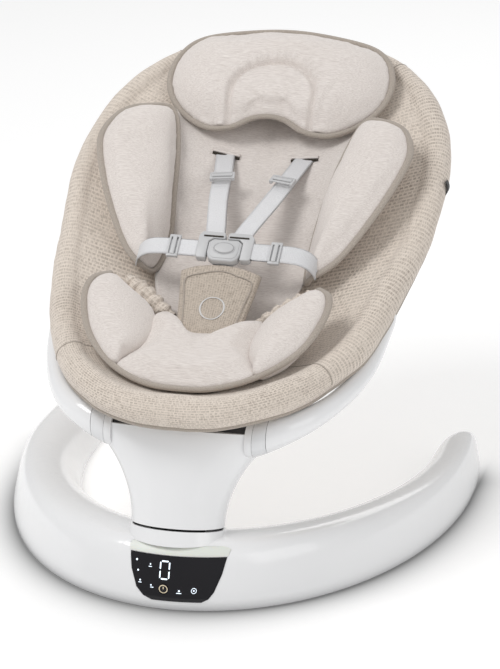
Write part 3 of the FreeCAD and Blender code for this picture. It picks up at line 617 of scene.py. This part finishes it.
# ------------------------------------------------------------------ soft inserts
# Cream melange jersey over wadding: back panel, two back wings, thigh pad with two bolsters, head pillow.
# Each is cut as two skins sewn at the edge, filled, and bound with the beige bias tape.
jersey = Finish("cream_jersey", Roughness=0.95, Sheen_Weight=0.4, Sheen_Roughness=0.45, Specular_IOR_Level=0.12)
where = jersey.place()
across, along, up = jersey.split(where)
streak = jersey.grain(jersey.joined(across * 75.0, along * 1100.0, up * 1100.0), 1.0, 4.0, 0.7)
blush = jersey.grain(where, 9.0, 2.0)
knit = jersey.grain(where, 1500.0, 2.0, 0.6)
pale = jersey.tint(blush, (0.775, 0.72, 0.68), (0.825, 0.775, 0.74))
jersey.feed(Base_Color=jersey.tint(streak * 2.6 - 0.95, pale, (0.55, 0.49, 0.455)))
jersey.relief(knit + streak * 0.6, 0.0005, 0.55)


def on_spine(point, start, end):
    """The nearest point of a straight line."""
    line = end - start
    t = (point - start).dot(line) / line.dot(line)
    return start + line * min(max(t, 0.0), 1.0)


def sewn_pad(name, loop, spine, normal, crown, under):
    """Two skins sewn round a loop: rows of corners run from the loop in to a middle line on both sides."""
    start, end = (Vector(p) / 1000 for p in spine)
    normal = Vector(normal).normalized()
    edge = metres(loop)

    def place(u, v):
        rim = smooth_line(edge, min(u, 1.0) % 1.0)
        middle = on_spine(rim, start, end)
        front = v < 0.5
        q = (1 - 2 * v) if front else (2 * v - 1)
        bulge = (1 - (1 - q) ** 2.3) ** 0.55
        lift = crown * bulge if front else -under * bulge
        return rim.lerp(middle, q) + normal * lift / 1000

    return laid_grid(name, 96, 33, place, True, (1.0, 0.3))


def near_line(point, line):
    return min((point - spot).length for spot in line)


VOXEL = 0.005
FILL_FRAMES = 20
SEWN_REACH = 0.02


def filled(pad, loop, cap):
    """Fills a sewn pad: its cloth is blown up, less near the sewn edge; the cap is how far a point may move."""
    make_active(pad)
    remesh = pad.modifiers.new("even", "REMESH")
    remesh.mode = "VOXEL"
    remesh.voxel_size = VOXEL
    bpy.ops.object.modifier_apply(modifier="even")
    before = [c.co.copy() for c in pad.data.vertices]
    cloth = pad.modifiers.new("fill", "CLOTH")
    cloth.settings.effector_weights.gravity = 0
    cloth.settings.use_pressure = True
    cloth.settings.uniform_pressure_force = 4.0
    cloth.settings.quality = 5
    for word, stiff in (("tension", 12), ("compression", 12), ("shear", 4), ("bending", 0.4)):
        setattr(cloth.settings, word + "_stiffness", stiff)
    cloth.point_cache.frame_start = 1
    cloth.point_cache.frame_end = FILL_FRAMES
    for moment in range(1, FILL_FRAMES + 1):
        bpy.context.scene.frame_set(moment)
    shown = pad.evaluated_get(bpy.context.evaluated_depsgraph_get())
    blown = [c.co.copy() for c in shown.data.vertices]
    pad.modifiers.remove(cloth)
    bpy.context.scene.frame_set(1)
    line = [smooth_line(metres(loop), k / 90) for k in range(90)]
    for corner, old, new in zip(pad.data.vertices, before, blown):
        move = new - old
        if move.length > cap:
            move = move.normalized() * cap
        corner.co = old + move * soft_step(near_line(old, line) / SEWN_REACH)
    finer = pad.modifiers.new("finer", "SUBSURF")
    finer.levels = 1
    finer.render_levels = 1
    bpy.ops.object.modifier_apply(modifier="finer")
    bpy.ops.object.shade_smooth()


def rumpled(pad, high, scale, seed):
    """The small unevenness of wadding under jersey."""
    for corner in pad.data.vertices:
        corner.co.z += high * noise.noise(corner.co * scale + Vector((seed, 0, 0)))


def mirror_of(pad, name):
    make_active(pad)
    bpy.ops.object.duplicate()
    twin = named(name)
    for corner in twin.data.vertices:
        corner.co.x = -corner.co.x
    bpy.ops.object.mode_set(mode="EDIT")
    bpy.ops.mesh.select_all(action="SELECT")
    bpy.ops.mesh.flip_normals()
    bpy.ops.object.mode_set(mode="OBJECT")
    return twin


def soft(pad, node):
    paint(pad, jersey)
    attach(pad, "seat")
    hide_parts(node)


# Back wings: petal-shaped side cushions that stand up beside the sitter.
WING = [(112, -48, 334), (142, -22, 354), (178, 28, 402), (202, 80, 446), (203, 112, 464), (188, 142, 478),
        (162, 160, 482), (130, 176, 474), (112, 131, 438), (101, 72, 392), (95, 25, 345), (100, -25, 320)]
WING_UP = (-0.45, -0.42, 0.79)
wing = sewn_pad("right_back_wing_pad", WING, ((126, 10, 368), (156, 115, 452)), WING_UP, 19, 14)
filled(wing, WING, 0.008)
rumpled(wing, 0.0022, 26, 1.0)
left_wing = mirror_of(wing, "left_back_wing_pad")
soft(wing, "right_back_wing")
soft(left_wing, "left_back_wing")

# Thigh pad: a crescent over the front of the seat, between its two bolsters.
THIGH = both_sides([(0, -279, 262), (45, -274, 264), (88, -255, 271), (86, -226, 275), (76, -200, 277),
                    (74, -168, 285), (78, -136, 296), (68, -113, 296), (54, -112, 290), (34, -126, 281),
                    (0, -132, 278)])
thigh = sewn_pad("thigh_pad_cushion", THIGH, ((0, -238, 266), (0, -175, 272)), (0, -0.1, 1), 13, 16)
filled(thigh, THIGH, 0.007)
rumpled(thigh, 0.002, 24, 5.0)
soft(thigh, "thigh_pad")
BOLSTER = [(92, -249, 274), (132, -203, 292), (152, -160, 320), (151, -129, 337), (134, -105, 338), (108, -111, 322),
           (74, -122, 299), (63, -152, 285), (67, -195, 276), (80, -228, 274)]
bolster = sewn_pad("right_thigh_bolster_pad", BOLSTER, ((100, -205, 284), (124, -142, 318)), (-0.35, -0.3, 0.89),
                   18, 18)
filled(bolster, BOLSTER, 0.008)
rumpled(bolster, 0.002, 26, 9.0)
left_bolster = mirror_of(bolster, "left_thigh_bolster_pad")
soft(bolster, "right_thigh_bolster")
soft(left_bolster, "left_thigh_bolster")

# Head pillow: a bean-shaped ring round a flatter middle, held by hook and loop.
PILLOW = both_sides([(0, 176, 474), (22, 176, 470), (48, 168, 459), (80, 172, 454), (112, 186, 462), (139, 210, 480),
                     (150, 240, 502), (142, 272, 525), (116, 293, 541), (60, 303, 550), (0, 306, 554)])
PILLOW_UP = (0, -0.52, 0.855)
pillow = sewn_pad("head_pillow_cushion", PILLOW, ((-82, 245, 508), (82, 245, 508)), PILLOW_UP, 20, 14)
filled(pillow, PILLOW, 0.010)
rumpled(pillow, 0.002, 24, 13.0)
PILLOW_OUT = Vector(PILLOW_UP).normalized()


ARCH_FOOT, ARCH_RADIUS, ARCH_FLAT = 0.190, 0.057, 0.74


def arch_gap(x, y):
    """How far a place lies outside the arch seam, in metres; negative is inside."""
    if y < ARCH_FOOT:
        return abs(x) - ARCH_RADIUS + (ARCH_FOOT - y) * 0.10
    return math.hypot(x, (y - ARCH_FOOT) / ARCH_FLAT) - ARCH_RADIUS


# The seam is drawn in, the middle is pressed flat, and small puckers stand out round the arch.
for corner in pillow.data.vertices:
    x, y = corner.co.x, corner.co.y
    if (corner.co - Vector((0, 0.24, 0.503))).dot(PILLOW_OUT) < -0.002:
        continue
    gap = arch_gap(x, y)
    corner.co -= PILLOW_OUT * (0.0085 * math.exp(-(gap / 0.0042) ** 2) + 0.006 * soft_step(-gap / 0.02 + 0.3))
    if gap > 0 and y > 0.2:
        ray = math.atan2(y - ARCH_FOOT, x)
        corner.co += (PILLOW_OUT * 0.0017 * math.sin(ray * 34 + 1.5 * math.sin(ray * 9))
                      * math.exp(-((gap - 0.007) / 0.011) ** 2))
    for fold in (-0.075, 0.078):
        corner.co -= (PILLOW_OUT * 0.0022 * math.exp(-((x - fold - (y - 0.2) * 0.5) / 0.006) ** 2)
                      * soft_step((0.24 - y) / 0.05))
soft(pillow, "head_pillow")

# Back panel: a thin quilted pad down the middle, dished between the wings, with small pull marks by the slots.
# Both tables give a measure at a distance along the seat: half the width, and the height of the side edge.
PANEL_HALF = [(-0.075, 0.086), (-0.03, 0.097), (0.028, 0.099), (0.072, 0.105), (0.131, 0.116), (0.178, 0.132),
              (0.24, 0.112)]
PANEL_EDGE = [(-0.075, 0.292), (-0.03, 0.318), (0.028, 0.340), (0.072, 0.386), (0.131, 0.434), (0.178, 0.470),
              (0.24, 0.486)]
SLOT_X = 0.053


def reading(y, table):
    for (y0, v0), (y1, v1) in zip(table, table[1:]):
        if y <= y1:
            break
    return v0 + (v1 - v0) * soft_step((y - y0) / (y1 - y0))


def panel_top(x, y):
    centre = well_height(y) + 0.021
    part = abs(x) / reading(y, PANEL_HALF)
    high = centre + (reading(y, PANEL_EDGE) - centre) * part ** 3.6
    high += 0.003 * math.cos(x * 45) * math.cos((y - 0.05) * 20)
    high += 0.0035 * noise.noise(Vector((x * 22, y * 16, 2.0)))
    high += 0.0014 * noise.noise(Vector((x * 60, y * 50, 4.0)))
    high -= 0.0035 * math.exp(-((abs(x) - 0.004 - (0.16 - y) * 0.1) / 0.010) ** 2) * soft_step((y - 0.02) / 0.1)
    for side in (-1, 1):
        gap = math.hypot(x - side * SLOT_X, (y - 0.158) * 1.6)
        high -= 0.004 * math.exp(-(gap / 0.016) ** 2)
        for lean in (-0.6, 0.6):
            away = x - side * SLOT_X - lean * (y - 0.165)
            high += (0.0022 * math.exp(-(away / 0.0035) ** 2)
                     * soft_step((y - 0.163) / 0.01) * soft_step((0.215 - y) / 0.02))
    return high


def panel_place(u, v):
    y = -0.078 + 0.31 * u
    part = 2 * v if v < 0.5 else 2 - 2 * v
    x = (2 * part - 1) * reading(y, PANEL_HALF)
    high = panel_top(x, y)
    if v >= 0.5:
        round_off = math.sqrt(max(0.0, 1 - (2 * part - 1) ** 6))
        high -= 0.014 * round_off
    return Vector((x, y, high))


panel = laid_grid("back_insert_panel", 110, 80, panel_place, True, (0.31, 0.4))
make_active(panel)
close_ends()
soft(panel, "back_insert")

# Bias binding sewn round the wings and the pillow, and along the front edge of the thigh pad.
TAPE = 0.0046
for name, loop in (("right_wing_binding", WING), ("left_wing_binding", other_side(WING)),
                   ("pillow_binding", PILLOW)):
    path_points = metres(loop)
    tape = tube_piece(name, lambda at, p=path_points: smooth_line(p, at), TAPE, 160, flat=0.75, finish=binding_cloth)
    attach(tape, "seat")
FRONT_HALF = metres([(134, -104, 339), (152, -128, 338), (153, -160, 321), (133, -203, 292), (92, -249, 273),
                     (45, -275, 263), (0, -281, 261)])
FRONT_EDGE = FRONT_HALF + other_side(FRONT_HALF[-2::-1])
tape = tube_piece("thigh_binding", lambda at: smooth_line(FRONT_EDGE, at, False), TAPE, 160, closed=False,
                  flat=0.75, finish=binding_cloth)
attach(tape, "seat")

# ------------------------------------------------------------------ harness webbing
# Ribbed silver-grey polyester webbing, 25 mm wide: two shoulder, two waist and one crotch strap.
# Each shoulder strap runs from its buckle half up into a slot in the back panel.
WEB_WIDTH = 0.025
WEB_THICK = 0.0017
webbing = Finish("grey_webbing", Roughness=0.38, Sheen_Weight=0.3, Specular_IOR_Level=0.6)
where = webbing.cloth_place()
across, along, up = webbing.split(where)
ribs = (along * 5200.0).wave()
picks = (across * 2600.0).wave()
edge_line = ((along / WEB_WIDTH - 0.5).size() > 0.42)
# Random mottling, with painted shade: darker in the rib grooves, along the edges of the face and over the whole back.
mottle_and_painted_shade = webbing.grain(where, 700.0) * 0.7 + ribs * 0.12 + edge_line * 0.2
webbing.feed(Base_Color=webbing.tint(mottle_and_painted_shade, (0.90, 0.90, 0.915), (0.62, 0.62, 0.635)))
webbing.relief(ribs * 0.6 + picks * 0.5, 0.0005, 0.6)


def strap(name, path, faces):
    """Flat webbing along path(at); faces(at) is the way its width runs."""

    def place(u, v):
        part = 2 * v if v < 0.5 else 2 - 2 * v
        spot = path(u)
        along = (path(min(u + 0.01, 1.0)) - path(max(u - 0.01, 0.0))).normalized()
        side = faces(u)
        side = (side - along * side.dot(along)).normalized()
        out = side.cross(along).normalized()
        return spot + side * WEB_WIDTH * (part - 0.5) + out * (WEB_THICK / 2 if v < 0.5 else -WEB_THICK / 2)

    length = sum((path((k + 1) / 40) - path(k / 40)).length for k in range(40))
    band = laid_grid(name, 60, 16, place, False, (length, WEB_WIDTH * 2))
    make_active(band)
    close_ends(join_doubles=True)
    paint(band, webbing)
    return band


HARNESS = Matrix.Translation((0, -0.048, 0.356)) @ Matrix.Rotation(math.radians(38), 4, "X")


def harness_point(x, v, n):
    """A place on the buckle's plane: x to the side, v up the plane, n out of it, in millimetres."""
    return HARNESS @ Vector((x / 1000, v / 1000, n / 1000))


WEB_END_Y = 0.1565
WAIST_LINE = [(25, 0, 10.2), (62, 0, 10.2), (84, 0, 10.0), (101, -1, 7), (113, -3, -3), (118, -6, -18)]


for side, word in SIDES:
    low = harness_point(side * 16.5, 19, 6.8)
    edges = [panel_top(side * x, WEB_END_Y) for x in (0.037, 0.069)]
    slot = Vector((side * SLOT_X, WEB_END_Y, (edges[0] + edges[1]) / 2 + 0.0028))
    mid = low.lerp(slot, 0.45) + Vector((side * 0.002, 0.0, 0.002))
    inside = Vector((side * 0.0535, 0.1585, 0.420))
    line = [tuple(spot) for spot in (low, low.lerp(slot, 0.12) + Vector((0, 0, 0.0015)), mid, low.lerp(slot, 0.8),
                                     slot, inside)]
    band = strap(word + "_shoulder_strap", lambda at, p=line: smooth_line(p, at, False),
                 lambda at: Vector((1, 0, 0)))
    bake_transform(band)
    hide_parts(word + "_lower_shoulder_webbing", word + "_upper_shoulder_webbing")
    line = [tuple(harness_point(side * x, v, n)) for x, v, n in WAIST_LINE]
    band = strap(word + "_waist_strap", lambda at, p=line: smooth_line(p, at, False),
                 lambda at: HARNESS.to_3x3() @ Vector((0, 1, 0)))
    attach(band, "seat")
    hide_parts(word + "_waist_webbing")
band = strap("crotch_strap", lambda at: harness_point(0, -8, 2).lerp(Vector((0, -0.118, 0.272)), at),
             lambda at: Vector((1, 0, 0)))
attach(band, "seat")
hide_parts("crotch_webbing")

# Slots in the back panel where the shoulder webbing passes through: the shade inside each slot is painted as a dark
# cord, with a stitched lip.
# Near-black cloth that stands in for the shade inside slots: painted shade.
painted_slot_shade = Finish("painted_slot_shade", Roughness=0.9, Specular_IOR_Level=0.1)
shade = painted_slot_shade.tint(painted_slot_shade.grain(painted_slot_shade.place(), 200.0), (0.03, 0.025, 0.02), (0.07, 0.06, 0.05))
painted_slot_shade.feed(Base_Color=shade)
SLOT_Y = 0.1580


def slot_line(side, at, y, over):
    """A straight line across a slot, a hair over the panel."""
    low, high = (panel_top(side * SLOT_X + k, y) for k in (-0.016, 0.016))
    return Vector((side * SLOT_X + (at - 0.5) * 0.036, y, low + (high - low) * at + over))


for side, word in SIDES:
    slot_shade_cord = tube_piece(word + "_strap_slot_shade", lambda at, side=side: slot_line(side, at, SLOT_Y, 0.0016), 0.0019,
                         24, closed=False, flat=0.9, sides=10, finish=painted_slot_shade)
    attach(slot_shade_cord, "seat")
    lip = tube_piece(word + "_slot_lip", lambda at, side=side: slot_line(side, at, SLOT_Y + 0.0044, 0.0015), 0.0030,
                     24, closed=False, flat=0.7, sides=10, finish=jersey)
    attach(lip, "seat")

# ------------------------------------------------------------------ buckle and adjusters
# Light grey acetal: a five-point buckle with an oval push button and two sliding halves.
# Four three-bar adjusters sit on the shoulder and waist straps.
acetal = Finish("grey_acetal", Specular_IOR_Level=0.45)
where = acetal.place()
acetal.feed(Base_Color=acetal.tint(acetal.grain(where, 45.0, 3.0), (0.50, 0.50, 0.505), (0.58, 0.58, 0.585)),
            Roughness=0.34 + 0.14 * acetal.grain(where, 260.0, 3.0))
acetal.relief(acetal.grain(where, 1100.0, 2.0), 0.00008, 0.5)


def moulded(name, outline, low, high, bevel, frame_to, body, node=None, finish=None, dome=0.0):
    """A moulded plate: an outline extruded to its thickness with rounded edges."""
    clear_selection()
    bpy.ops.mesh.primitive_circle_add(vertices=len(outline), radius=0.01, fill_type="NGON")
    plate = named(name)
    for corner, (x, y) in zip(plate.data.vertices, outline):
        corner.co = Vector((x / 1000, y / 1000, low / 1000))
    thicken((0, 0, (high - low) / 1000))
    edges = plate.modifiers.new("edges", "BEVEL")
    edges.width = bevel / 1000
    edges.segments = 3
    edges.limit_method = "ANGLE"
    edges.angle_limit = math.radians(40)
    bpy.ops.object.modifier_apply(modifier="edges")
    for corner in plate.data.vertices:
        if dome and corner.co.z > (low + high) / 2000:
            reach = math.hypot(corner.co.x / 0.02, corner.co.y / 0.014)
            corner.co.z += dome / 1000 * max(0.0, 1 - reach * reach)
    plate.data.transform(frame_to)
    bpy.ops.object.shade_smooth_by_angle(angle=math.radians(35))
    paint(plate, finish or acetal)
    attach(plate, body)
    if node:
        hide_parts(node)
    return plate


def oval(a, b, count=32):
    turns = [2 * math.pi * k / count for k in range(count)]
    return [(a * math.cos(turn), b * math.sin(turn)) for turn in turns]


HOUSING = [(-21.8, -6), (-19, -14), (-13, -18), (13, -18), (19, -14), (21.8, -6), (21.8, 9.5), (16, 14.3),
           (-16, 14.3), (-21.8, 9.5)]
FACE_STEP = [(-18.5, -5.5), (-16.5, -11.5), (-12, -14.5), (12, -14.5), (16.5, -11.5), (18.5, -5.5), (18.5, 8.2),
             (14.5, 11.4), (-14.5, 11.4), (-18.5, 8.2)]
HALF = [(22.3, -15), (33, -15), (36, -12), (36, 19), (31.5, 25), (4, 25), (1.8, 22.5), (1.8, 15.2), (17, 15.2),
        (22.3, 10.8)]
moulded("buckle_housing", HOUSING, 0, 13, 2.2, HARNESS, "seat", "buckle_body")
moulded("buckle_face_step", FACE_STEP, 12.6, 13.8, 0.5, HARNESS, "seat")
moulded("push_button", oval(12.6, 7.6), 9.9, 15.4, 1.3, HARNESS, "buckle_button", "buckle_button", dome=0.6)
clear_selection()
bpy.ops.mesh.primitive_torus_add(major_segments=48, minor_segments=10, major_radius=0.0138, minor_radius=0.0007)
ring = named("button_surround")
for corner in ring.data.vertices:
    corner.co.y *= 8.7 / 13.8
    corner.co.z += 0.0139
ring.data.transform(HARNESS)
bpy.ops.object.shade_smooth()
paint(ring, acetal)
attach(ring, "seat")
for side, word in SIDES:
    body = word + "_connector"
    half = HALF if side > 0 else [(-x, y) for x, y in HALF[::-1]]
    moulded(word + "_buckle_half", half, 2, 13, 1.4, HARNESS, body, body)
    tongue = [(8 * side, -7.6), (23 * side, -7.6), (23 * side, 7.6), (8 * side, 7.6)]
    moulded(word + "_buckle_tongue", tongue, 4.2, 8.0, 0.6, HARNESS, body)
    # A thin dark strip on each half is painted shade, standing for the slot that the shoulder webbing threads into.
    bar = [(side * 4, 16.5), (side * 29.5, 16.5), (side * 29.5, 18.6), (side * 4, 18.6)]
    moulded(word + "_web_slot_shade", bar, 12.8, 14.0, 0.4, HARNESS, body, finish=painted_slot_shade)


RAIL_X, RAIL_HALF, RAIL_LONG, BAR_LONG = 14.2, 2.0, 7.4, 13.6


def three_bar(name, frame_to, body, long_way):
    """A three-bar adjuster: two side rails and three cross bars moulded in one."""

    def part(kind, left, right, low, high, bottom, top, bevel):
        box = [(left, low), (right, low), (right, high), (left, high)]
        if long_way == "y":
            box = [(low, left), (high, left), (high, right), (low, right)]
        moulded(name + kind, box, bottom, top, bevel, frame_to, body)

    for k, at in enumerate((-1, 1)):
        part(f"_rail_{k}", at * RAIL_X - RAIL_HALF, at * RAIL_X + RAIL_HALF, -RAIL_LONG, RAIL_LONG, -2.4, 2.6, 0.7)
    for k, (at, half, top) in enumerate(((-6.0, 1.4, 3.2), (0, 2.7, 4.0), (6.0, 1.4, 3.2))):
        part(f"_bar_{k}", -BAR_LONG, BAR_LONG, at - half, at + half, 1.1, top, 0.9)
    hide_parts(body)


for side, word in SIDES:
    foot = harness_point(side * 16.5, 25.5, 7)
    top = Vector((side * 0.053, 0.156, 0.434))
    along = (top - foot).normalized()
    flat = (Vector((1, 0, 0)) - along * along.x).normalized()
    out = flat.cross(along)
    knee = 0.62 * (top - foot).length + 0.006
    turn = Matrix((flat, along, out)).transposed().to_4x4()
    place = Matrix.Translation(foot + along * knee) @ turn
    three_bar(word + "_shoulder_slider", place, word + "_shoulder_adjuster", "x")
    place = HARNESS @ Matrix.Translation((side * 0.066, 0, 0.0102))
    three_bar(word + "_waist_slider", place, word + "_waist_adjuster", "y")

# ------------------------------------------------------------------ crotch pad
# A stitched shield of the beige cover cloth over the crotch webbing, coloured darker than the cover with painted
# shade.
# It has a sewn hem and a plain embroidered ring.
PAD = Matrix.Translation((0, -0.128, 0.280)) @ Matrix.Rotation(math.radians(41.7), 4, "X")


def pad_place(u, v):
    part = 2 * v if v < 0.5 else 2 - 2 * v
    tall = -14 + 104 * u
    half = 39.5 + 12.5 * min(1.0, u * 1.05)
    x = (2 * part - 1) * half
    arc = 9.0 * (1 - (x / half) ** 2) if u > 0.9 else 0.0
    y = tall - 8 + arc * (u - 0.9) * 10 if u > 0.9 else tall - 8 * u
    sag = -2.4 * (1 - (x / half) ** 2) * (1 - u)
    edge = min(1.0, 7.0 * (1 - abs(2 * part - 1)), 9.0 * u + 0.15, 9.0 * (1 - u) + 0.15)
    puff = 3.4 * math.sqrt(max(0.05, edge))
    curl = -5.0 * (abs(2 * part - 1) ** 3) + 3.0
    bump = 0.8 * noise.noise(Vector((x / 14, y / 14, 7)))
    n = curl + sag + (puff + bump if v < 0.5 else -puff * 0.6)
    return PAD @ Vector((x / 1000, y / 1000, (n + 5 + 9 * (1 - u) ** 2) / 1000))


shield = laid_grid("crotch_pad_shield", 60, 64, pad_place, True, (0.09, 0.2))
make_active(shield)
close_ends()
# The cover's linen, drawn darker all over: painted shade.
shaded_shield_linen = Finish("shaded_shield_linen", Roughness=0.92, Sheen_Weight=0.25, Specular_IOR_Level=0.15)
linen_look(shaded_shield_linen, shaded_shield_linen.cloth_place(), (0.22, 0.18, 0.145), (0.58, 0.505, 0.43), (0.17, 0.135, 0.105),
           0.6, pitch=0.55)
paint(shield, shaded_shield_linen)
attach(shield, "seat")
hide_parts("crotch_pad")


def pad_line(points):
    """A line on the shield's face, through (across, up) places from 0 to 1."""
    def path(at):
        spot = smooth_line([(a, b, 0) for a, b in points], at, False)
        return pad_place(spot.y, spot.x * 0.5) + PAD.to_3x3() @ Vector((0, 0, 0.0006))
    return path


HEM = [(0.10, 0.02), (0.085, 0.5), (0.08, 0.86), (0.3, 0.93), (0.5, 0.95), (0.7, 0.93), (0.92, 0.86), (0.915, 0.5),
       (0.90, 0.02)]
hem = tube_piece("crotch_pad_hem", pad_line(HEM), 0.0011, 120, closed=False, flat=0.5, sides=8, finish=binding_cloth)
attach(hem, "seat")
thread = Finish("white_thread", Roughness=0.7, Sheen_Weight=0.3)
across, along, up = thread.split(thread.cloth_place())
# The colour runs lighter on each stitch and darker between stitches: painted shade.
thread.feed(Base_Color=thread.tint((across * 5000.0).wave() * 0.5 + 0.5, (0.62, 0.61, 0.60), (0.85, 0.84, 0.83)))
thread.relief((across * 5000.0).wave(), 0.0003, 0.6)


def badge_path(at):
    turn = 2 * math.pi * at
    spot = pad_place(0.42 + 0.17 * math.sin(turn), 0.25 + 0.085 * math.cos(turn))
    return spot + PAD.to_3x3() @ Vector((0, 0, 0.0004))


badge = tube_piece("embroidered_ring", badge_path, 0.0012, 72, flat=0.5, sides=8, finish=thread)
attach(badge, "seat")

# ------------------------------------------------------------------ elastic gathers at the hips
# The cover is drawn in by elastic beside the crotch pad.
# It ruches there into a small roll on each side.
for side, word in SIDES:
    ends = metres([(side * 54, -104, 287), (side * 80, -92, 298), (side * 106, -78, 312), (side * 124, -66, 322)])

    def gather(u, v, ends=ends):
        spot = smooth_line(ends, u, False)
        ahead, behind = smooth_line(ends, min(u + 0.02, 1), False), smooth_line(ends, max(u - 0.02, 0), False)
        along = (ahead - behind).normalized()
        side_way = along.cross(Vector((0, 0, 1))).normalized()
        top = side_way.cross(along)
        angle = 2 * math.pi * v
        taper = math.sin(math.pi * (0.12 + 0.76 * u))
        folds = 0.15 * math.sin(u * 38 + 1.3 * math.sin(angle)) + 0.07 * math.sin(u * 83 + angle)
        radius = 0.0105 * taper * (1 + folds)
        return spot + radius * (1.3 * math.cos(angle) * side_way + math.sin(angle) * top)

    ruche = laid_grid(word + "_hip_gather", 120, 20, gather, True, (0.12, 0.06))
    paint(ruche, linen)
    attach(ruche, "seat")

# ------------------------------------------------------------------ side label
# A small folded woven label sewn into the rim on the right.
# Plain and dark, with fine ribs; the colour runs lighter on the ribs and darker between them, a painted shade.
label_cloth = Finish("label_cloth", Roughness=0.8, Sheen_Weight=0.2)
across, along, up = label_cloth.split(label_cloth.place())
shade = label_cloth.tint((up * 5000.0).wave() * 0.5 + 0.5, (0.012, 0.012, 0.013), (0.035, 0.034, 0.034))
label_cloth.feed(Base_Color=shade)
label_cloth.relief((up * 5000.0).wave(), 0.0003, 0.5)


def label_place(u, v):
    loop = Vector((0.0005 + 0.003 * math.sin(math.pi * u), -0.005 + 0.012 * v, -0.009 + 0.018 * u))
    return cover_point(0.3, 0.45) + loop


label = laid_grid("woven_label", 10, 8, label_place)
thick = label.modifiers.new("thick", "SOLIDIFY")
thick.thickness = 0.0009
bpy.ops.object.modifier_apply(modifier="thick")
paint(label, label_cloth)
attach(label, "seat")
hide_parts("side_label")

# ------------------------------------------------------------------ floor
# A plain pale studio floor.
# It is darker in a soft band where the horseshoe base stands on it: a painted contact shadow.
clear_selection()
bpy.ops.mesh.primitive_plane_add(size=30, location=(0, 0, 0))
floor = named("studio_floor")
floor_with_painted_shadow = Finish("floor_with_painted_shadow", Roughness=0.8, Specular_IOR_Level=0.05, Emission_Strength=0.40)
pale = floor_with_painted_shadow.tint(floor_with_painted_shadow.grain(floor_with_painted_shadow.place(), 0.6), (0.93, 0.93, 0.93), (0.95, 0.95, 0.95))
across, along, up = floor_with_painted_shadow.split(floor_with_painted_shadow.place())
HALF_WIDE, HALF_LONG, WIDEST_Y, TIPS_Y = 0.3, 0.437, 0.082, 0.13
before = (along - WIDEST_Y).sum("MINIMUM", 0.0) / HALF_LONG
reach = ((across / HALF_WIDE) ** 2.0 + before * before) ** 0.5 - 1.0
beyond = (along - TIPS_Y).sum("MAXIMUM", 0.0) * 18.0
# near is the painted contact shadow: darkest at the outline of the base's foot, fading outwards and past the arm tips.
near = ((reach.size() * -15.0 - beyond * beyond).sum("EXPONENT")) * (reach > -0.13)
floor_with_painted_shadow.feed(Base_Color=floor_with_painted_shadow.tint(near * 0.55 + 0.28, pale, (0.1, 0.1, 0.1)),
                Emission_Color=floor_with_painted_shadow.tint(near * 0.85, pale, (0.0, 0.0, 0.0)))
paint(floor, floor_with_painted_shadow)
